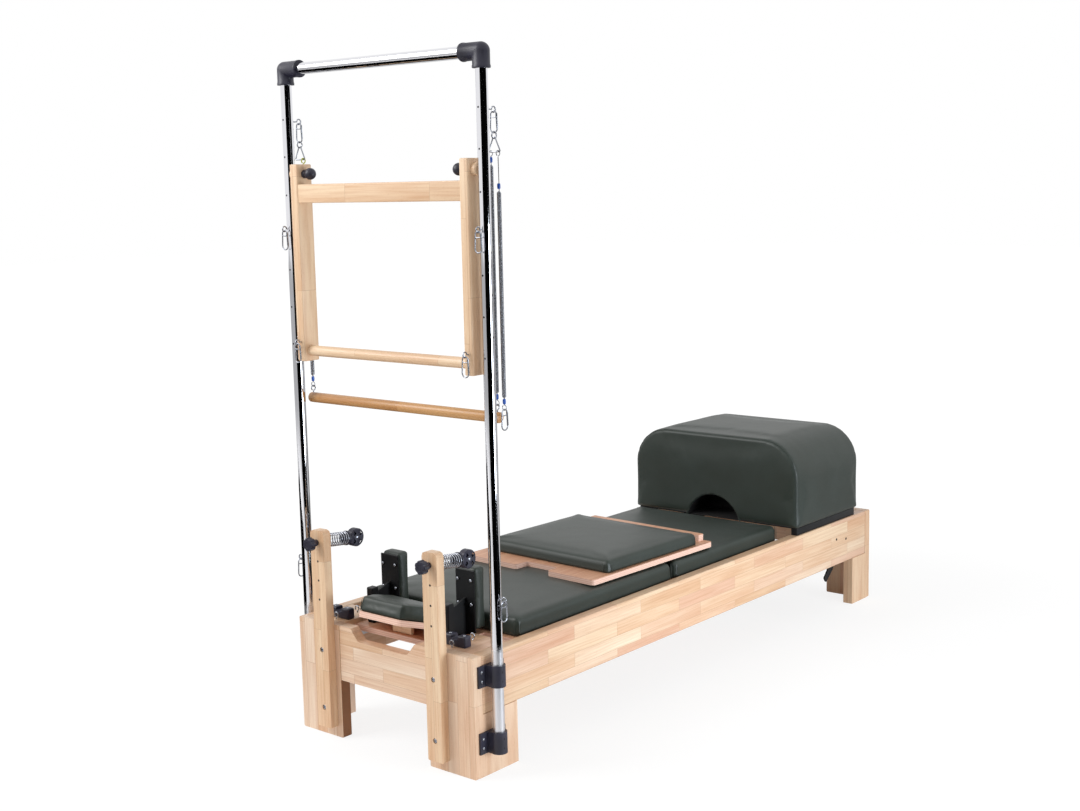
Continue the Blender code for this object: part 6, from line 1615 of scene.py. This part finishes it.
def corner_pleats(name, low, high, top, setback=0.016, sink=0.0005):
    """Two pleats beside each of four corners."""
    places = []
    for x, inward_x in ((low[0] + sink, 1), (high[0] - sink, -1)):
        for y, inward_y in ((low[1] + sink, 1), (high[1] - sink, -1)):
            places.append((x + 0.0015 * inward_x, y + setback * inward_y))
            places.append((x + setback * inward_x, y + 0.0015 * inward_y))
    return pleats(name, places, low[2] + 0.001, top)


def welt(name, skin, y):
    """Sewn line round one face of the sitting box, laid on the blown skin."""
    reach = BOX_CORNER - WELT_INSET
    side = BOX_HALF - WELT_INSET
    points = [(-side, y, BOX_LOW + WELT_INSET)]
    for word, start in ((-1, 180), (1, 90)):
        centre = Vector((word * (side - reach), y, BOX_HIGH - WELT_INSET - reach))
        for i in range(WELT_STEPS + 1):
            angle = math.radians(start - 90 * i / WELT_STEPS)
            points.append(centre + Vector((math.cos(angle), 0, math.sin(angle))) * reach)
    points.append((side, y, BOX_LOW + WELT_INSET))
    laid = []
    for before, after in zip(points, points[1:]):
        for i in range(12):
            _, spot, normal, _ = skin.closest_point_on_mesh(Vector(before).lerp(Vector(after), i / 12))
            laid.append(spot + normal * 0.0003)
    return wire(name, laid, WELT, sides=6)


print("pleats", PLEAT * 2000, "mm, welts", WELT * 2000, "mm")

# %% [markdown]
# Each of the three square cushions gets eight pleats, two beside each corner. The headrest gets four:
# two at its head corners and two where its sides begin to narrow. The seams are joined with their
# cushion into one piece, so that both take one finish and move together.

# %% Sew the seams
seams = {"carriage_cushion": corner_pleats("carriage_pleats", carriage_low, carriage_high, PAD_HIGH - 0.012),
         "filler_cushion": corner_pleats("filler_pleats", filler_low, filler_high, PAD_HIGH - 0.012),
         "jump_cushion": corner_pleats("jump_pleats", jump_low, jump_high, JUMP_TOP - 0.014, 0.024)}
head_y = HEADREST_HEAD_Y + 0.0018
edge_y = HEADREST_HEAD_Y + HEADREST_TAPER + 0.008
places = [(-HEADREST_NARROW + 0.004, head_y), (HEADREST_NARROW - 0.004, head_y),
          (-HEADREST_HALF + 0.0018, edge_y), (HEADREST_HALF - 0.0018, edge_y)]
seams["headrest_cushion"] = pleats("headrest_pleats", places, HEADREST_LOW + 0.001, HEADREST_TOP - 0.010)
box_skin = cushions["sitting_box_skin"]
seams["sitting_box_skin"] = join("box_welts", welt("welt_head", box_skin, BOX_HEAD_Y + WELT_INSET),
                                 welt("welt_foot", box_skin, BOX_FOOT_Y - WELT_INSET))
for name, seam in seams.items():
    activate(join(name, cushions[name], seam))
    bpy.ops.object.shade_smooth()
print("cushions with seams", list(seams))

# %% [markdown]
# The arch in the sitting box is a handhold. It is cut after the skin is blown up, with a cylinder,
# because cloth would close a hole that was there before. A near-black lining and back inside it are painted
# shade, a dust cloth closes it underneath, and a thin roll of leatherette covers the cut, as the folded edge
# does.

# %% Handhold arch
ARCH_RADIUS = 0.1281
ARCH_TOP = 0.096
ARCH_DEPTH = 0.150
ARCH_Z = BOX_LOW + ARCH_TOP - ARCH_RADIUS
ARCH_MIDDLE = (0, BOX_HEAD_Y, ARCH_Z)
ARCH_SIDES = 96
ARCH_SHADE_RADIUS = ARCH_RADIUS - 0.0004
ROLL_RADIUS = 0.0034
ROLL_STEPS = 40


def arch_piece(name, stations, bore):
    """Near-black turned piece inside the arch, painted shade, cut level with the box's underside."""
    piece = turn(name, stations, ARCH_MIDDLE, "Y", ARCH_SIDES, bore)
    boolean(piece, block("under", (-0.3, 0.4, ARCH_Z - 0.3), (0.3, 1.2, BOX_LOW + 0.001), 0.0001, 1))
    return dress(piece, PAINTED_SHADE_BLACK, "sitting_box")


cutter = turn("arch_cutter", [(ARCH_RADIUS, -0.03), (ARCH_RADIUS, ARCH_DEPTH)], ARCH_MIDDLE, "Y", ARCH_SIDES)
boolean(box_skin, cutter)
# Lining and back are painted shade: a near-black sheet where the arch's inside is dark
arch_piece("arch_shade_lining", [(ARCH_SHADE_RADIUS, 0.004), (ARCH_SHADE_RADIUS, ARCH_DEPTH - 0.001),
                           (ARCH_SHADE_RADIUS - 0.0016, ARCH_DEPTH - 0.001), (ARCH_SHADE_RADIUS - 0.0016, 0.004),
                           (ARCH_SHADE_RADIUS, 0.004)], True)
arch_piece("arch_shade_back", [(ARCH_SHADE_RADIUS - 0.0002, ARCH_DEPTH - 0.004),
                         (ARCH_SHADE_RADIUS - 0.0002, ARCH_DEPTH - 0.001)], False)
points = []
start = math.asin((BOX_LOW + 0.002 - ARCH_Z) / ARCH_RADIUS)
for i in range(ROLL_STEPS + 1):
    angle = start + (math.pi - 2 * start) * i / ROLL_STEPS
    points.append((math.cos(angle) * ARCH_RADIUS, BOX_HEAD_Y + 0.0036,
                   ARCH_Z + math.sin(angle) * ARCH_RADIUS))
roll = wire("arch_roll", points, ROLL_RADIUS, sides=12)
dress(roll, LEATHERETTE, "sitting_box")
print("arch", round(ARCH_TOP * 1000), "mm high")

# %% [markdown]
# Underneath, the box is closed with a dust cloth and stands on two dark skids. Each is a thin block. Both
# are near black: partly their own colour, partly painted shade under the box.

# %% Dust cloth and skids
SKID_X = 0.355
SKID_HALF = 0.013
SKID_LOW = FRAME_TOP + 0.0003
SKID_HEAD_Y, SKID_FOOT_Y = 0.667, 1.117
DUST_HALF = 0.345
DUST_SETBACK = 0.012

# Near black: a black dust cloth, and partly painted shade under the box
dust = block("box_dust_cloth", (-DUST_HALF, BOX_HEAD_Y + DUST_SETBACK, BOX_LOW + 0.0006),
             (DUST_HALF, BOX_FOOT_Y - DUST_SETBACK, BOX_LOW + 0.0026), 0.0005, 1)
dress(dust, PAINTED_SHADE_BLACK, "sitting_box")
for side, name in SIDES:
    x = side * SKID_X
    # Black skids: their own powder coat, and partly painted shade under the box
    skid = block(f"box_skid_{name}", (x - SKID_HALF, SKID_HEAD_Y, SKID_LOW),
                 (x + SKID_HALF, SKID_FOOT_Y, BOX_LOW + 0.002), 0.002)
    dress(skid, POWDER_COAT, "sitting_box")
print("skids", round(SKID_FOOT_Y - SKID_HEAD_Y, 3), "m long")

# %% [markdown]
# The headrest leans back by its tilt and the jump board lies a little askew, so these two
# cushions are turned now, after they were blown up flat.

# %% Turn and dress the cushions
tilt = (Matrix.Translation(HEADREST_HINGE) @ Matrix.Rotation(-HEADREST_TILT, 4, "X")
        @ Matrix.Translation(-HEADREST_HINGE))
cushions["headrest_cushion"].data.transform(tilt)
swing = (Matrix.Translation(JUMP_TURN_MIDDLE) @ Matrix.Rotation(JUMP_TURN, 4, "Z")
         @ Matrix.Translation(-JUMP_TURN_MIDDLE))
cushions["jump_cushion"].data.transform(swing)
OWNERS = (("carriage_cushion", "carriage", "carriage_pad", 0.9),
          ("filler_cushion", "filler_mat", "filler_pad", 0.9),
          ("jump_cushion", "jump_board", "jump_board_pad", 0.8),
          ("headrest_cushion", "headrest", "headrest_pad", 0.9),
          ("shoulder_cushion_left", "carriage", "shoulder_pad_left", 1.0),
          ("shoulder_cushion_right", "carriage", "shoulder_pad_right", 1.0),
          ("sitting_box_skin", "sitting_box", "sitting_box", 1.0))
for name, body, node, fill in OWNERS:
    cushion = dress(cushions[name], LEATHERETTE, body, node)
    corners = [vertex.co for vertex in cushion.data.vertices]
    sizes = [round(max(c[i] for c in corners) - min(c[i] for c in corners), 3) for i in range(3)]
    print(name, "measures", sizes, "m")

# %% [markdown]
# The picture has a pure white ground, so the floor is white paper. To the
# camera the paper also glows by itself, fully from three metres out and by
# four fifths near the object, so that a fifth of its soft shadow is kept.

# %% White floor
FLOOR_HALF = 30.0
FLOOR_Z = -0.0005
SHADE_FROM, SHADE_TO = 1.2, 3.2
SHADE_GLOW = 0.80


def stage_plane(name, low, high, material):
    """Flat sheet between two corners, which belongs to the studio and not to the object."""
    rest()
    bpy.ops.mesh.primitive_plane_add(size=1.0)
    plane = finish_piece(name)
    low, high = Vector(low), Vector(high)
    if low.x == high.x:
        corners = (low, (low.x, high.y, low.z), (low.x, low.y, high.z), high)
    else:
        corners = (low, (high.x, low.y, low.z), (low.x, high.y, high.z), high)
    for vertex, corner in zip(plane.data.vertices, corners):
        vertex.co = corner
    plane.data.materials.append(material)
    return plane


floor_paper, tree, shader = new_material("white_floor", Base_Color=srgb("#FFFFFF"), Roughness=0.9,
                                         Specular_IOR_Level=0.0)
place = add_node(tree, "TexCoord").outputs["Object"]
far = add_node(tree, "VectorMath", {0: place}, operation="LENGTH").outputs["Value"]
fade = add_node(tree, "MapRange", {"Value": far, "From Min": SHADE_FROM, "From Max": SHADE_TO,
                                   "To Min": SHADE_GLOW, "To Max": 1.0}).outputs[0]
watched = add_node(tree, "LightPath").outputs["Is Camera Ray"]
share = add_node(tree, "Math", {0: fade, 1: watched}, operation="MULTIPLY").outputs[0]
glow = add_node(tree, "Emission", {"Color": (1.0, 1.0, 1.0, 1.0), "Strength": 1.05}).outputs[0]
paper = add_node(tree, "MixShader", {0: share, 1: shader.outputs[0], 2: glow}).outputs[0]
tree.links.new(paper, tree.nodes["Material Output"].inputs["Surface"])
stage_plane("floor", (-FLOOR_HALF, -FLOOR_HALF, FLOOR_Z), (FLOOR_HALF, FLOOR_HALF, FLOOR_Z), floor_paper)
print("floor", 2 * FLOOR_HALF, "m across")

# %% [markdown]
# Chrome shows what stands round it, and in a studio that includes dark things. Four
# black flags, behind and beside the camera and flat on the floor, give the tubes
# their dark core. Only reflections see them, so they cast no shadow and hide nothing.

# %% Flags
black, tree, shader = new_material("black_flag", Base_Color=srgb("#050505"), Roughness=1.0,
                                   Specular_IOR_Level=0.0)
FLAGS = (("flag_behind", (1.0, -6.5, 0.0), (6.5, -6.5, 3.2)),
         ("flag_right", (6.5, -6.5, 0.0), (6.5, 5.0, 3.2)),
         ("flag_below", (1.2, -6.5, 0.001), (6.5, 1.2, 0.001)),
         ("flag_left", (-4.5, -4.0, 0.001), (-0.6, 0.0, 0.001)))
for name, low, high in FLAGS:
    flag = stage_plane(name, low, high, black)
    flag.visible_camera = False
    flag.visible_diffuse = False
    flag.visible_shadow = False
    flag.visible_transmission = False
    flag.visible_volume_scatter = False
print("stage", [name for name, low, high in FLAGS])

# %% [markdown]
# A large key light from the upper left models the form, and a weaker, cooler
# one low on the right lifts the long side and puts the pale blue sheen on
# the cushions. A small lamp would make hard shadows; these are metres wide.

# %% Lamps
KEY_PLACE = Vector((-3.0, -4.5, 4.2))
KEY_SIZE = 3.0
KEY_POWER = 205.0
FILL_PLACE = Vector((4.2, 0.2, 0.7))
FILL_SIZE = 1.6
FILL_POWER = 27.0
FILL_COLOUR = (0.86, 0.93, 1.0)
FILL_SPREAD = math.radians(75)


def area_light(name, place, size, power, aim):
    """Square lamp that faces a point."""
    data = bpy.data.lights.new(name, "AREA")
    data.size = size
    data.energy = power
    lamp = bpy.data.objects.new(name, data)
    bpy.context.scene.collection.objects.link(lamp)
    turned = (place - aim).to_track_quat("Z", "Y").to_matrix().to_4x4()
    lamp.matrix_world = Matrix.Translation(place) @ turned
    return lamp


area_light("key_light", KEY_PLACE, KEY_SIZE, KEY_POWER, Vector((0, -0.5, 0.7)))
fill = area_light("fill_light", FILL_PLACE, FILL_SIZE, FILL_POWER, Vector((0.3, -0.1, 0.1)))
fill.data.spread = FILL_SPREAD
fill.data.color = FILL_COLOUR
print("key", KEY_POWER, "W, fill", FILL_POWER, "W")

# %% [markdown]
# The world is full white to the camera, to every mirror and through every glass, and
# half as strong as a light, so that the background is white without washing the object
# out. The view transform stays Standard, at which a colour shows as it is written.

# %% World and view
AMBIENT = 0.50

world = bpy.data.worlds.new("studio_white")
bpy.context.scene.world = world
world.use_nodes = True
tree = world.node_tree
paths = add_node(tree, "LightPath").outputs
seen = paths["Is Camera Ray"]
for ray in ("Is Glossy Ray", "Is Transmission Ray"):
    seen = add_node(tree, "Math", {0: seen, 1: paths[ray]}, operation="MAXIMUM").outputs[0]
strength = add_node(tree, "MapRange", {"Value": seen, "From Min": 0.0, "From Max": 1.0,
                                       "To Min": AMBIENT, "To Max": 1.0}).outputs[0]
background = tree.nodes["Background"]
background.inputs["Color"].default_value = (1.0, 1.0, 1.0, 1.0)
tree.links.new(strength, background.inputs["Strength"])
bpy.context.scene.view_settings.view_transform = "Standard"
bpy.context.scene.frame_set(1)
print("world light", AMBIENT, "of white, view", bpy.context.scene.view_settings.view_transform)

# %% [markdown]
# Last, the scene is left in object mode with nothing selected. Cloth may stand a few millimetres proud.

# %% Finish
rest()
